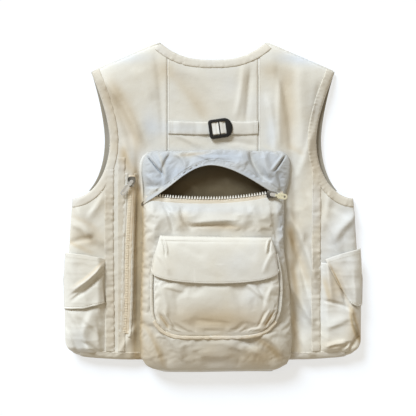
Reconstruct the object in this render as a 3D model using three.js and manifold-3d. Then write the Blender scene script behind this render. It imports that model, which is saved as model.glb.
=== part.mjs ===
// Fishing vest lying on its front, back uppermost, neck towards +Y. Millimetres, +Z up.
import * as THREE from 'three';
import { mergeVertices } from 'three/addons/utils/BufferGeometryUtils.js';
import Module from 'manifold-3d';

const wasm = await Module();
wasm.setup();

// Cloth and the spaces between sewn pieces
const clothT = 2; // shell with its lining
const tapeT = 1.2; // bindings, seam strips and hem bands
const gap = 0.4; // clearance between neighbouring pieces
const bodySpace = 9; // between the front and the back when laid flat

// Outline of the body
const neckHalf = 102;
const neckRise = 34;
const neckPointY = 316;
const neckPower = 2.8;
const shoulderHalf = 233;
const shoulderY = 258;
const shoulderPower = 1.6;
const armholeHalf = 200;
const armholeY = 130;
const underarmHalf = 274;
const underarmY = 16;
const frontArmholeGrowth = 6;
const frontNeckY = 120;
const hemY = -296;
const yokeHalf = 88;
const sideSeamX = 200;
const frontSeamX = 230;
const bindingW = 17;
const seamStripW = 18;
const hemBandW = 15;

// Side bellows pockets, which wrap from the front round the side fold
const sidePocketT = 10;
const sidePocketEdgeT = 12;
const sidePocketMouthY = -112;
const sidePocketBottomY = hemY + 8;
const sidePocketFrontX = 150;
const sidePocketWall = 1.6;
const sideFlapHingeY = -96;
const sideFlapEndY = -188;
const sideFlapRise = 9;

// Chest pockets on the front
const chestPocketX = [62, 182];
const chestPocketY = [52, 168];

// Big zipped bag on the back
const bagX = 4;
const bagTopHalf = 138;
const bagBottomHalf = 146;
const bagMouthY = 13;
const bagBottomY = hemY - 22;
const bagDepth = 36;
const bagLipHeight = 23;
const bagSlopeEndY = -45;
const crownTopY = 108;
const crownLipY = 35;
const archX = -8;
const archHalf = 116;
const archRise = 47;

// Flap pocket on the face of the bag
const outerPocketX = 5;
const outerPocketHalf = 117;
const outerPocketMouthY = -78;
const outerPocketBottomY = bagBottomY + 80;
const outerPocketDepth = 15;
const outerBindingW = 9;
const outerFlapHalf = 119;
const outerFlapHingeY = -55;
const outerFlapEndY = -143;
const outerFlapArc = 18;
const fastenerSize = [70, 20];
const fastenerY = -122;

// Adjuster strap across the yoke
const strapW = 25;
const strapY = 154;
const strapT = 1.5;
const strapJoinX = 33;
const strapSewnX = 84;
const buckleX = 15;
const buckleY = 152;
const buckleT = 5;
const buckleTurn = THREE.MathUtils.degToRad(8);

// Zips
const zipTapeHalf = 7;
const zipTapeT = 1;
const toothHalf = 3;
const toothT = 2;
const sidePitch = 4.3;
const bagPitch = 5.4;
const bagTapeW = 7;
const bagTapeT = 1.5;
const bagToothDepth = 3;
const sideZipTop = [-156.5, 61];
const sideZipBottom = [-169, hemY + 51];
const bagZipX = [-116, 134];
const bagSliderX = 112;

// Levels, from the surface the vest lies on upwards
const frontBottom = sidePocketT + gap;
const frontTop = frontBottom + clothT;
const backBottom = frontTop + bodySpace;
const backTop = backBottom + clothT;
const trimBottom = backTop + gap;
const trimTop = trimBottom + tapeT;
const bagBase = trimTop + gap;
const bagFace = bagBase + bagDepth;
const bagLip = bagBase + bagLipHeight;
const outerBase = bagFace + gap;
const outerTop = outerBase + outerPocketDepth;
const outerFlapBottom = outerTop + 3 * gap + 2 * tapeT;

const finishes = {
  twill: { color: 0xd8d3c4, roughness: 0.85, metalness: 0 },
  trim: { color: 0xcfc6b0, roughness: 0.88, metalness: 0 },
  lining: { color: 0x5c4e38, roughness: 0.9, metalness: 0 },
  zipTape: { color: 0xe6d5bc, roughness: 0.85, metalness: 0 },
  teeth: { color: 0xf3eee2, roughness: 0.4, metalness: 0 },
  metal: { color: 0xcfcbc0, roughness: 0.3, metalness: 1 },
  plastic: { color: 0x161616, roughness: 0.4, metalness: 0 },
  hookTape: { color: 0xd6cfbf, roughness: 0.95, metalness: 0 },
};

const vest = new THREE.Group();

function addPart(name, geometry, finish, parent = vest) {
  const mesh = new THREE.Mesh(geometry, new THREE.MeshStandardMaterial(finishes[finish]));
  mesh.name = name;
  parent.add(mesh);
}

function toSolid(geometry) {
  const bare = geometry.clone();
  bare.deleteAttribute('normal');
  bare.deleteAttribute('uv');
  const merged = mergeVertices(bare);
  return new wasm.Manifold(new wasm.Mesh({
    numProp: 3,
    vertProperties: new Float32Array(merged.attributes.position.array),
    triVerts: new Uint32Array(merged.index.array),
  }));
}

function toGeometry(solid) {
  const mesh = solid.getMesh();
  const geometry = new THREE.BufferGeometry();
  geometry.setAttribute('position', new THREE.BufferAttribute(mesh.vertProperties, 3));
  geometry.setIndex(new THREE.BufferAttribute(mesh.triVerts, 1));
  geometry.computeVertexNormals();
  return geometry;
}

const cut = (body, ...tools) => toGeometry(tools.reduce((rest, tool) => rest.subtract(toSolid(tool)), toSolid(body)));
const keep = (body, region) => toGeometry(toSolid(body).intersect(toSolid(region)));
const join = (body, ...others) => toGeometry(others.reduce((all, other) => all.add(toSolid(other)), toSolid(body)));

function mirrored(geometry) {
  const flipped = geometry.index ? geometry.toNonIndexed() : geometry.clone();
  flipped.scale(-1, 1, 1);
  const place = flipped.attributes.position;
  const second = new THREE.Vector3();
  const third = new THREE.Vector3();
  for (let i = 0; i < place.count; i += 3) {
    second.fromBufferAttribute(place, i + 1);
    third.fromBufferAttribute(place, i + 2);
    place.setXYZ(i + 1, third.x, third.y, third.z);
    place.setXYZ(i + 2, second.x, second.y, second.z);
  }
  flipped.computeVertexNormals();
  return flipped;
}

// Adds NAME_right as given and its mirror image as NAME_left
function addPair(name, geometry, finish) {
  addPart(`${name}_right`, geometry, finish);
  addPart(`${name}_left`, mirrored(geometry), finish);
}

// Leaves out the points of a closed outline that lie on a straight stretch
function corners(outline) {
  return outline.filter((here, i) => {
    const before = outline.at(i - 1);
    const after = outline[(i + 1) % outline.length];
    return Math.abs(here.clone().sub(before).cross(after.clone().sub(here))) > 1e-6;
  });
}

function slab(outline, bottom, top) {
  const shape = outline instanceof THREE.Shape ? outline : new THREE.Shape(corners(outline));
  const geometry = new THREE.ExtrudeGeometry(shape, { depth: top - bottom, bevelEnabled: false, curveSegments: 8 });
  return geometry.translate(0, 0, bottom);
}

function block([x0, x1], [y0, y1], [z0, z1]) {
  const box = new THREE.BoxGeometry(x1 - x0, y1 - y0, z1 - z0);
  return box.translate((x0 + x1) / 2, (y0 + y1) / 2, (z0 + z1) / 2);
}

// A profile drawn as (X, Z), run along Y
function runAlongY(profile, yTop, yBottom) {
  const geometry = new THREE.ExtrudeGeometry(profile, { depth: yTop - yBottom, bevelEnabled: false, curveSegments: 5 });
  return geometry.rotateX(Math.PI / 2).translate(0, yTop, 0);
}

// A profile drawn as (Y, Z), run along X
function runAlongX(profile, x0, x1) {
  const geometry = new THREE.ExtrudeGeometry(profile, { depth: x1 - x0, bevelEnabled: false });
  const turn = new THREE.Matrix4().makeBasis(
    new THREE.Vector3(0, 1, 0),
    new THREE.Vector3(0, 0, 1),
    new THREE.Vector3(1, 0, 0),
  );
  return geometry.applyMatrix4(turn).translate(x0, 0, 0);
}

const span = (count, make) => Array.from({ length: count + 1 }, (_, i) => make(i / count));
const point = (x, y) => new THREE.Vector2(x, y);
const neckY = (x) => neckPointY - neckRise * (1 - (Math.abs(x) / neckHalf) ** neckPower);

// Right armhole edge from the shoulder tip down to the underarm
function armholeEdge(half) {
  const upper = span(6, (t) => point(
    half + (shoulderHalf - half) * (1 - t) ** shoulderPower,
    THREE.MathUtils.lerp(shoulderY, armholeY, t),
  ));
  const lower = span(8, (t) => point(
    half + (underarmHalf - half) * (1 - Math.cos(t * Math.PI / 2)),
    armholeY - (armholeY - underarmY) * Math.sin(t * Math.PI / 2),
  ));
  return [...upper, ...lower.slice(1)];
}

// Moves an open path sideways, to its right as it runs
function offsetPath(path, distance) {
  return path.map((here, i) => {
    const before = path[Math.max(i - 1, 0)];
    const after = path[Math.min(i + 1, path.length - 1)];
    const along = after.clone().sub(before).normalize();
    return point(here.x + along.y * distance, here.y - along.x * distance);
  });
}

const band = (path, width) => [...path, ...offsetPath(path, width).reverse()];
const neckEdge = span(20, (t) => {
  const x = THREE.MathUtils.lerp(-neckHalf, neckHalf, t);
  return point(x, neckY(x));
});

function bodyOutline(half, neck) {
  const right = [...armholeEdge(half)].reverse();
  const left = armholeEdge(half).map((p) => point(-p.x, p.y));
  return [point(underarmHalf, hemY), ...right, ...neck, ...left, point(-underarmHalf, hemY)];
}

// Everything outside the right armhole, grown inwards by a margin
function armholeCutter(margin) {
  const far = 2 * underarmHalf;
  const edge = margin ? offsetPath(armholeEdge(armholeHalf), margin) : armholeEdge(armholeHalf);
  const last = edge[edge.length - 1];
  return slab([...edge, point(far, last.y), point(far, shoulderY)], -gap, bagFace);
}

// Body panels
const backOutline = slab(bodyOutline(armholeHalf, [...neckEdge].reverse()), backBottom, backTop);
const backRange = [backBottom - gap, backTop + gap];
const farY = [2 * hemY, 2 * neckPointY];
const frontNeck = [point(neckHalf, neckPointY), point(0, frontNeckY), point(-neckHalf, neckPointY)];
const frontOutline = slab(bodyOutline(armholeHalf + frontArmholeGrowth, frontNeck), frontBottom, frontTop);
const frontRange = [frontBottom - gap, frontTop + gap];


// A panel from its inner edge out to the side seam, and above the armhole's middle out to the shoulder tip
function panelRegion(inner, seam, levels) {
  const beside = block([inner, seam - gap], farY, levels);
  return join(beside, block([inner, 2 * underarmHalf], [armholeY, farY[1]], levels));
}
addPart('back_centre_panel', keep(backOutline, block([-yokeHalf, yokeHalf], farY, backRange)), 'twill');
addPair('back_panel', keep(backOutline, panelRegion(yokeHalf + gap, sideSeamX, backRange)), 'twill');
addPair('front_panel', keep(frontOutline, panelRegion(zipTapeHalf + gap, frontSeamX, frontRange)), 'twill');

// Each side panel folds from the back round to the front in one piece
function sidePanel() {
  const inside = underarmHalf - clothT;
  const profile = new THREE.Shape([
    point(sideSeamX, backTop),
    point(underarmHalf, backTop),
    point(underarmHalf, frontBottom),
    point(frontSeamX, frontBottom),
    point(frontSeamX, frontTop),
    point(inside, frontTop),
    point(inside, backBottom),
    point(sideSeamX, backBottom),
  ]);
  return cut(runAlongY(profile, armholeY, hemY), armholeCutter(0));
}
addPair('side_panel', sidePanel(), 'twill');

// Shoulder seams close the front to the back
function shoulderSeam() {
  const along = point(shoulderHalf - neckHalf, shoulderY - neckPointY);
  const outwards = point(-along.y, along.x).normalize();
  const start = point(neckHalf, neckPointY).addScaledVector(outwards, gap);
  const bar = new THREE.BoxGeometry(along.length(), clothT, backTop - frontBottom);
  bar.translate(along.length() / 2, clothT / 2, (backTop + frontBottom) / 2);
  return bar.rotateZ(along.angle()).translate(start.x, start.y, 0);
}
addPair('shoulder_seam', shoulderSeam(), 'trim');

// Bindings, seam strips and hem bands
addPart('neck_binding', slab(band(neckEdge, bindingW), trimBottom, trimTop), 'trim');
addPair('armhole_binding', slab(band(armholeEdge(armholeHalf), bindingW), trimBottom, trimTop), 'trim');
const stripEdges = [sideSeamX - seamStripW / 2, sideSeamX + seamStripW / 2];
const stripBody = block(stripEdges, [hemY + hemBandW + gap, armholeY], [trimBottom, trimTop]);
addPair('side_seam_strip', cut(stripBody, armholeCutter(bindingW + gap)), 'trim');
const hemInnerX = bagX + bagBottomHalf + 5 * gap;
const pocketBackX = stripEdges[1] + 5;
addPair('hem_band', block([hemInnerX, pocketBackX - gap], [hemY, hemY + hemBandW], [trimBottom, trimTop]), 'trim');

// Section of a side pocket, hugging the fold of the side panel; inset draws the hollow
function sidePocketProfile(inset) {
  const inner = underarmHalf + gap;
  const outer = inner + sidePocketEdgeT;
  const top = trimBottom + sidePocketT;
  const round = sidePocketT - gap;
  const bend = round - inset;
  const shape = new THREE.Shape();
  shape.moveTo(pocketBackX + inset, trimBottom + inset);
  shape.absarc(pocketBackX + round, top - round, bend, Math.PI, Math.PI / 2, true);
  shape.absarc(outer - round, top - round, bend, Math.PI / 2, 0, true);
  shape.absarc(outer - round, round, bend, 0, -Math.PI / 2, true);
  shape.lineTo(sidePocketFrontX + inset, inset);
  shape.lineTo(sidePocketFrontX + inset, sidePocketT - inset);
  shape.lineTo(inner + inset, sidePocketT - inset);
  shape.lineTo(inner + inset, trimBottom + inset);
  return shape;
}
const pocketOuter = runAlongY(sidePocketProfile(0), sidePocketMouthY, sidePocketBottomY);
const pocketHollow = runAlongY(
  sidePocketProfile(sidePocketWall),
  sidePocketMouthY + gap,
  sidePocketBottomY + sidePocketWall,
);
addPair('side_pocket', cut(pocketOuter, pocketHollow), 'twill');

// A flap rises from its sewn edge onto the pocket and lies over its mouth
function flapProfile(hingeY, endY, rise, base, level) {
  return new THREE.Shape([
    point(hingeY, base),
    point(hingeY, base + clothT),
    point(hingeY - rise, level + clothT),
    point(endY, level + clothT),
    point(endY, level),
    point(hingeY - rise - clothT / 2, level),
    point(hingeY - clothT, base),
  ]);
}
const sideFlapLevel = trimBottom + sidePocketT + gap;
const sideFlap = flapProfile(sideFlapHingeY, sideFlapEndY, sideFlapRise, trimBottom, sideFlapLevel);
addPair('side_pocket_flap', runAlongX(sideFlap, pocketBackX, underarmHalf + sidePocketEdgeT - clothT), 'twill');

// Chest pockets: flat pouches, open at the top edge
const chestOuter = block(chestPocketX, chestPocketY, [0, sidePocketT]);
const chestHollow = block(
  [chestPocketX[0] + sidePocketWall, chestPocketX[1] - sidePocketWall],
  [chestPocketY[0] + sidePocketWall, chestPocketY[1] + gap],
  [sidePocketWall, sidePocketT - sidePocketWall],
);
addPair('chest_pocket', cut(chestOuter, chestHollow), 'twill');

// Closed arched body: sections across X at each station along Y, flat underneath
function archedBody(centreX, base, stations) {
  const across = 14;
  const vertices = [];
  const faces = [];
  for (const { y, half, height } of stations) {
    for (let i = 0; i <= across; i += 1) {
      const angle = Math.PI * (1 - i / across);
      const x = Math.sign(Math.cos(angle)) * Math.abs(Math.cos(angle)) ** 0.45;
      vertices.push(centreX + half * x, y, base + height * Math.sin(angle) ** 0.45);
    }
  }
  const ring = across + 1;
  for (let s = 0; s + 1 < stations.length; s += 1) {
    for (let i = 0; i < ring; i += 1) {
      const next = (i + 1) % ring;
      const here = s * ring;
      const there = here + ring;
      faces.push(here + i, there + i, here + next, here + next, there + i, there + next);
    }
  }
  const end = (stations.length - 1) * ring;
  for (let i = 1; i < across; i += 1) {
    faces.push(0, i, i + 1, end, end + i + 1, end + i);
  }
  const geometry = new THREE.BufferGeometry();
  geometry.setAttribute('position', new THREE.Float32BufferAttribute(vertices, 3));
  geometry.setIndex(faces);
  return geometry;
}

// Bag: its lining against the back, the front with its gusset, and the crown above the mouth
function bagStations(inset) {
  const along = bagMouthY - bagBottomY - inset;
  return span(12, (t) => {
    const y = bagMouthY + (inset ? gap : 0) - (along + (inset ? gap : 0)) * t;
    const slope = THREE.MathUtils.clamp((bagMouthY - y) / (bagMouthY - bagSlopeEndY), 0, 1);
    const closing = Math.sqrt(Math.max(1 - Math.max((t - 0.8) / 0.2, 0) ** 3, 0.04));
    const height = THREE.MathUtils.lerp(bagLipHeight, bagDepth, slope) * closing - inset;
    const half = THREE.MathUtils.lerp(bagTopHalf, bagBottomHalf, t) * (0.9 + 0.1 * closing) - inset;
    return { y, half, height: Math.max(height, clothT) + (inset ? gap : 0) };
  });
}

function crownStations(inset) {
  const start = crownLipY - (inset ? gap : 0);
  return span(8, (t) => {
    const y = start + (crownTopY - inset - start) * t;
    const fall = Math.sqrt(Math.max(1 - t ** 2.4, 0.03));
    const height = bagLipHeight * fall - inset;
    return {
      y,
      half: bagTopHalf * (0.92 + 0.08 * fall) - inset,
      height: Math.max(height, clothT / 2) + (inset ? gap : 0),
    };
  }).reverse();
}

const lipY = (x) => crownLipY + archRise * Math.max(1 - ((x - archX) / archHalf) ** 2, 0);
const arch = span(20, (t) => {
  const x = archX + archHalf * (2 * t - 1);
  return point(x, lipY(x));
});
const farX = 2 * bagBottomHalf;
const mouthRegion = [
  point(-farX, crownLipY), ...arch, point(farX, crownLipY), point(farX, bagBottomY), point(-farX, bagBottomY),
];
addPart('bag_lining', block(
  [bagX - bagTopHalf + clothT, bagX + bagTopHalf - clothT],
  [bagBottomY + 2 * clothT, crownTopY - 2 * clothT],
  [trimBottom, trimTop],
), 'lining');
addPart('bag_front', cut(
  archedBody(bagX, bagBase, bagStations(0)),
  archedBody(bagX, bagBase - gap, bagStations(clothT)),
), 'twill');
addPart('bag_crown', cut(
  archedBody(bagX, bagBase, crownStations(0)),
  archedBody(bagX, bagBase - gap, crownStations(clothT)),
  slab(mouthRegion, bagBase - clothT, bagFace),
), 'twill');

// One side of the bag's zip: a tape from its sewn edge towards the mouth, with teeth along it
function toothedTape(edgeY, towards, x0, x1) {
  const sewn = span(20, (t) => {
    const x = THREE.MathUtils.lerp(x0, x1, t);
    return point(x, edgeY(x) + towards * gap);
  });
  const count = Math.floor((x1 - x0) / bagPitch);
  const toothed = [point(x0, edgeY(x0) + towards * (gap + bagTapeW))];
  for (let i = 0; i < count; i += 1) {
    const start = x0 + i * bagPitch;
    const low = (x) => edgeY(x) + towards * (gap + bagTapeW);
    const [a, b] = [start + bagPitch * 0.25, start + bagPitch * 0.75];
    toothed.push(point(a, low(a)), point(a, low(a) + towards * bagToothDepth));
    toothed.push(point(b, low(b) + towards * bagToothDepth), point(b, low(b)));
  }
  toothed.push(point(x1, edgeY(x1) + towards * (gap + bagTapeW)));
  const bottom = bagLip - clothT / 2 - bagTapeT / 2;
  return slab([...sewn, ...toothed.reverse()], bottom, bottom + bagTapeT);
}
addPart('bag_zip_lower_tape', toothedTape(() => bagMouthY, 1, ...bagZipX), 'teeth');
addPart('bag_zip_upper_tape', toothedTape(lipY, -1, archX - archHalf + gap, archX + archHalf - gap), 'teeth');

// Flap pocket on the bag
function outerPocketStations(inset) {
  const along = outerPocketMouthY - outerPocketBottomY - inset;
  return span(8, (t) => {
    const y = outerPocketMouthY + (inset ? gap : 0) - (along + (inset ? gap : 0)) * t;
    const closing = Math.sqrt(Math.max(1 - Math.max((t - 0.7) / 0.3, 0) ** 3, 0.06));
    return {
      y,
      half: outerPocketHalf * (0.88 + 0.12 * closing) - inset,
      height: Math.max(outerPocketDepth * closing - inset, clothT) + (inset ? gap : 0),
    };
  });
}
addPart('outer_pocket_body', cut(
  archedBody(outerPocketX, outerBase, outerPocketStations(0)),
  archedBody(outerPocketX, outerBase - gap, outerPocketStations(clothT)),
), 'twill');

function outerBinding() {
  const frame = (grow, corner) => {
    const half = outerPocketHalf + grow;
    const low = outerPocketBottomY - grow;
    return [
      point(-half, outerFlapEndY), point(-half, low + corner), point(-half + corner, low),
      point(half - corner, low), point(half, low + corner), point(half, outerFlapEndY),
    ].map((p) => p.add(point(outerPocketX, 0)));
  };
  const inner = frame(gap, outerBindingW / 3).reverse();
  return slab([...frame(outerBindingW, 2 * outerBindingW), ...inner], outerBase, outerBase + tapeT);
}
addPart('outer_pocket_binding', outerBinding(), 'zipTape');

const flapStrip = runAlongX(
  flapProfile(outerFlapHingeY, outerFlapEndY, 4 * clothT + outerPocketDepth / 2, outerBase, outerFlapBottom),
  outerPocketX - outerFlapHalf,
  outerPocketX + outerFlapHalf,
);
const flapPlan = [
  point(outerPocketX - outerFlapHalf - gap, 0),
  ...span(12, (t) => {
    const share = 2 * t - 1;
    return point(outerPocketX + share * (outerFlapHalf + gap), outerFlapEndY + outerFlapArc * share ** 2);
  }),
  point(outerPocketX + outerFlapHalf + gap, 0),
];
addPart('outer_pocket_flap', keep(flapStrip, slab(flapPlan, bagBase, 2 * bagFace)), 'twill');

function fastener(bottom) {
  const [length, width] = fastenerSize;
  const tape = block([-length / 2, length / 2], [-width / 2, width / 2], [bottom, bottom + tapeT]);
  return tape.translate(outerPocketX, fastenerY, 0);
}
addPart('pocket_loop_tape', fastener(outerTop + gap), 'hookTape');
addPart('flap_hook_tape', fastener(outerTop + 2 * gap + tapeT), 'hookTape');

// Adjuster strap in two lengths, and its ladder-lock buckle
const strapEdges = [strapY - strapW / 2, strapY + strapW / 2];
const strapLevels = [trimBottom, trimBottom + strapT];
addPart('adjuster_strap_left', block([-strapSewnX, strapJoinX], strapEdges, strapLevels), 'twill');
addPart('adjuster_strap_right', block([strapJoinX + 2 * gap, strapSewnX], strapEdges, strapLevels), 'twill');

function buckleFrame() {
  const [left, right, half, corner] = [-23, 11, 18.5, 6];
  const windowHalf = strapW / 2 + gap;
  const outline = new THREE.Shape();
  outline.moveTo(left, -half + corner);
  outline.absarc(left + corner, -half + corner, corner, Math.PI, 1.5 * Math.PI);
  outline.lineTo(right, -half);
  outline.bezierCurveTo(right + 16, -half + 4, right + 16, half - 4, right, half);
  outline.absarc(left + corner, half - corner, corner, Math.PI / 2, Math.PI);
  const window = (from, to) => block([from, to], [-windowHalf, windowHalf], [-gap, buckleT + gap]);
  return cut(slab(outline, 0, buckleT), window(-17, -3.4), window(-1.4, 10));
}
const buckle = new THREE.Group();
buckle.position.set(buckleX, buckleY, trimBottom + strapT + gap);
buckle.rotation.z = buckleTurn;
addPart('strap_buckle', buckleFrame(), 'plastic', buckle);
vest.add(buckle);

// Closed zip chain in its group's frame: runs down -Y, outer side up
function zipChain(length) {
  const tape = block([-zipTapeHalf, zipTapeHalf], [-length, 0], [0, zipTapeT]);
  const teeth = Math.floor(length / sidePitch) - 1;
  const side = (sign) => span(teeth * 2, (t) => {
    const step = Math.round(t * teeth * 2);
    return point(sign * (step % 2 ? toothHalf : toothHalf - 0.8), -length * 0.01 - step * sidePitch / 2);
  });
  const bottom = zipTapeT + gap;
  return { tape, teeth: slab([...side(1), ...side(-1).reverse()], bottom, bottom + toothT) };
}

const sliderBottom = zipTapeT + toothT + 2 * gap;
const sliderT = 3;
const eyeBottom = sliderBottom + sliderT + gap;
const eyeT = 1;
const eyeReach = 7;
const tabBottom = eyeBottom + eyeT + gap;
const tabT = 1.2;

// Slider body: wide at its shoulders, waisted towards the closed chain
function sliderBody() {
  const outline = new THREE.Shape();
  outline.moveTo(-4.5, -10);
  outline.lineTo(4.5, -10);
  outline.bezierCurveTo(5.5, -2, 7.2, 0, 7.2, 5);
  outline.bezierCurveTo(7.2, 9, 4, 10, 0, 10);
  outline.bezierCurveTo(-4, 10, -7.2, 9, -7.2, 5);
  outline.bezierCurveTo(-7.2, 0, -5.5, -2, -4.5, -10);
  return slab(outline, sliderBottom, sliderBottom + sliderT);
}

// Eye that swings on the slider and carries two lugs for the tab; the tab lies along +X
function pullEye() {
  const plate = new THREE.Shape();
  plate.absarc(0, 0, 3.4, Math.PI / 2, 1.5 * Math.PI);
  plate.lineTo(eyeReach + 1.2, -3.4);
  plate.lineTo(eyeReach + 1.2, 3.4);
  const lug = (y) => block([eyeReach - 1.2, eyeReach + 1.2], [y, y + 0.8], [eyeBottom + eyeT / 2, tabBottom + tabT]);
  return join(slab(plate, eyeBottom, eyeBottom + eyeT), lug(2.6), lug(-3.4));
}

function pullTab(length, half) {
  const root = eyeReach - tabT / 2;
  const neck = root + 4;
  const outline = new THREE.Shape();
  outline.moveTo(root, -2);
  outline.lineTo(neck, -2);
  outline.lineTo(neck + 2, -half);
  outline.absarc(root + length - half, 0, half, -Math.PI / 2, Math.PI / 2);
  outline.lineTo(neck + 2, half);
  outline.lineTo(neck, 2);
  outline.lineTo(root, 2);
  const eyelet = new THREE.Path();
  eyelet.absarc(root + length - half, 0, half / 2.4, 0, 2 * Math.PI);
  outline.holes = [eyelet];
  return slab(outline, tabBottom, tabBottom + tabT);
}

// Slider, eye and tab of one zip, with the slider's nose along the group's +Y
function addPull(name, parent, at, aim, length, half) {
  const seat = new THREE.Group();
  seat.position.set(...at);
  addPart(`${name}_slider`, sliderBody(), 'metal', seat);
  const swing = new THREE.Group();
  swing.rotation.z = aim;
  addPart(`${name}_eye`, pullEye(), 'metal', swing);
  addPart(`${name}_pull`, pullTab(length, half), 'metal', swing);
  seat.add(swing);
  parent.add(seat);
}

const degrees = THREE.MathUtils.degToRad;
const sideRun = point(sideZipBottom[0] - sideZipTop[0], sideZipBottom[1] - sideZipTop[1]);
const sideZip = new THREE.Group();
sideZip.position.set(...sideZipTop, trimBottom);
sideZip.rotation.z = sideRun.angle() - 1.5 * Math.PI;
const sideChain = zipChain(sideRun.length());
addPart('side_zip_tape', sideChain.tape, 'zipTape', sideZip);
addPart('side_zip_teeth', sideChain.teeth, 'teeth', sideZip);
addPull('side_zip', sideZip, [0, -12, 0], degrees(-125), 26, 4.5);
vest.add(sideZip);

// The zipped pocket's bag hangs inside the body
const insideBag = new THREE.Group();
insideBag.position.set(...sideZipTop, 0);
insideBag.rotation.z = sideZip.rotation.z;
const insideBagLevels = [backBottom - gap - clothT, backBottom - gap];
addPart('zip_pocket_bag', block([-18, 56], [-sideRun.length() - 6, 4], insideBagLevels), 'lining', insideBag);
vest.add(insideBag);

// Front zip, facing down between the front panels
const frontZip = new THREE.Group();
frontZip.position.set(0, frontNeckY - 12, frontBottom + zipTapeT);
frontZip.rotation.y = Math.PI;
const frontChain = zipChain(frontNeckY - 12 - hemY);
addPart('front_zip_tape', frontChain.tape, 'zipTape', frontZip);
addPart('front_zip_teeth', frontChain.teeth, 'teeth', frontZip);
addPull('front_zip', frontZip, [0, -12, 0], degrees(-90), 26, 4.5);
vest.add(frontZip);

// Bag zip slider at the open end of its run, nose towards the open mouth
const bagZip = new THREE.Group();
const bagChainY = bagMouthY + gap + bagTapeW + bagToothDepth + gap;
bagZip.position.set(bagSliderX, bagChainY, bagLip + bagTapeT / 2 - clothT / 2 + gap - sliderBottom);
bagZip.rotation.z = Math.PI / 2;
addPull('bag_zip', bagZip, [0, 0, 0], degrees(-100), 24, 5.5);
vest.add(bagZip);

export default vest;
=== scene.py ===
import math

import bmesh
import bpy
import numpy as np
from mathutils import Matrix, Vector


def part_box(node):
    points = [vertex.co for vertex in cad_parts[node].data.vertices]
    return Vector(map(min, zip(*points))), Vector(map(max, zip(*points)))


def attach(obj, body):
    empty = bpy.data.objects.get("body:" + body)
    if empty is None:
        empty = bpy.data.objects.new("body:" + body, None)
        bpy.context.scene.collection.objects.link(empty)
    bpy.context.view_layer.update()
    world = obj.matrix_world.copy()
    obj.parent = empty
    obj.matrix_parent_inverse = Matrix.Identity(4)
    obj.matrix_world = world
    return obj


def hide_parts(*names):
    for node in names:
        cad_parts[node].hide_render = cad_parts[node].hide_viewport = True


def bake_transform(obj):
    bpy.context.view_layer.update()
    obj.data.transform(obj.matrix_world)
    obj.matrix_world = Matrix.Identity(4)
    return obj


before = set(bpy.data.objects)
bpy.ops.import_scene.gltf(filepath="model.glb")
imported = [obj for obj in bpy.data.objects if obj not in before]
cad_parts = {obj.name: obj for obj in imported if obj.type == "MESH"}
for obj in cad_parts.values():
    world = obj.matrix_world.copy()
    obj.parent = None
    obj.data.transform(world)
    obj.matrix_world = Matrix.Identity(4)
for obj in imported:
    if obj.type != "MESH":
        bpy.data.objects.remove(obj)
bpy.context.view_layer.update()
mm = 0.001
seedValue = 7


def boxMm(node):
    low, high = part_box(node)
    return np.array(low) / mm, np.array(high) / mm


# Camera, light and floor
studio = {
    "cameraX": -9.6, "cameraY": -2, "cameraHeight": 2038, "lens": 90,
    "worldColour": (1.0, 0.86, 0.64), "worldStrength": 0.44,
    "keyColour": (0.82, 0.91, 1.0), "keyEnergy": 3.55, "keyTurn": (-44, -38), "keyAngle": 24,
    "backdrop": (0.97, 0.97, 0.97),
    "floorColour": (0.415, 0.45, 0.505), "floorGlow": 0.6, "floorRoughness": 0.95, "floorReach": 8,
}


def makeStudio():
    scene = bpy.context.scene
    camera = bpy.data.objects.new("camera", bpy.data.cameras.new("camera"))
    camera.data.lens = studio["lens"]
    camera.location = (studio["cameraX"] * mm, studio["cameraY"] * mm, studio["cameraHeight"] * mm)
    scene.collection.objects.link(camera)
    scene.camera = camera
    key = bpy.data.objects.new("key", bpy.data.lights.new("key", "SUN"))
    key.data.energy = studio["keyEnergy"]
    key.data.color = studio["keyColour"]
    key.data.angle = math.radians(studio["keyAngle"])
    turnX, turnY = studio["keyTurn"]
    key.rotation_euler = (math.radians(turnX), math.radians(turnY), 0)
    scene.collection.objects.link(key)
    makeRoom(scene)
    makeFloor(scene)
    print("studio ready")


# Cloth is lit by a soft warm room, while the camera sees plain paper behind the vest
def makeRoom(scene):
    world = bpy.data.worlds.new("room")
    world.use_nodes = True
    tree = world.node_tree
    light = tree.nodes["Background"]
    light.inputs["Color"].default_value = (*studio["worldColour"], 1)
    light.inputs["Strength"].default_value = studio["worldStrength"]
    backdrop = tree.nodes.new("ShaderNodeBackground")
    backdrop.inputs["Color"].default_value = (*studio["backdrop"], 1)
    ray = tree.nodes.new("ShaderNodeLightPath")
    either = tree.nodes.new("ShaderNodeMixShader")
    tree.links.new(ray.outputs["Is Camera Ray"], either.inputs[0])
    tree.links.new(light.outputs[0], either.inputs[1])
    tree.links.new(backdrop.outputs[0], either.inputs[2])
    tree.links.new(either.outputs[0], tree.nodes["World Output"].inputs["Surface"])
    scene.world = world
    scene.view_settings.view_transform = "Standard"


def makeFloor(scene):
    reach = studio["floorReach"]
    corners = [(-reach, -reach, 0), (reach, -reach, 0), (reach, reach, 0), (-reach, reach, 0)]
    mesh = bpy.data.meshes.new("floor")
    mesh.from_pydata(corners, [], [(0, 1, 2, 3)])
    floor = bpy.data.objects.new("floor", mesh)
    paper = bpy.data.materials.new("paper")
    paper.use_nodes = True
    shader = paper.node_tree.nodes["Principled BSDF"]
    shader.inputs["Base Color"].default_value = (*studio["floorColour"], 1)
    shader.inputs["Roughness"].default_value = studio["floorRoughness"]
    shader.inputs["Emission Color"].default_value = (1, 1, 1, 1)
    shader.inputs["Emission Strength"].default_value = studio["floorGlow"]
    mesh.materials.append(paper)
    scene.collection.objects.link(floor)


makeStudio()


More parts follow.
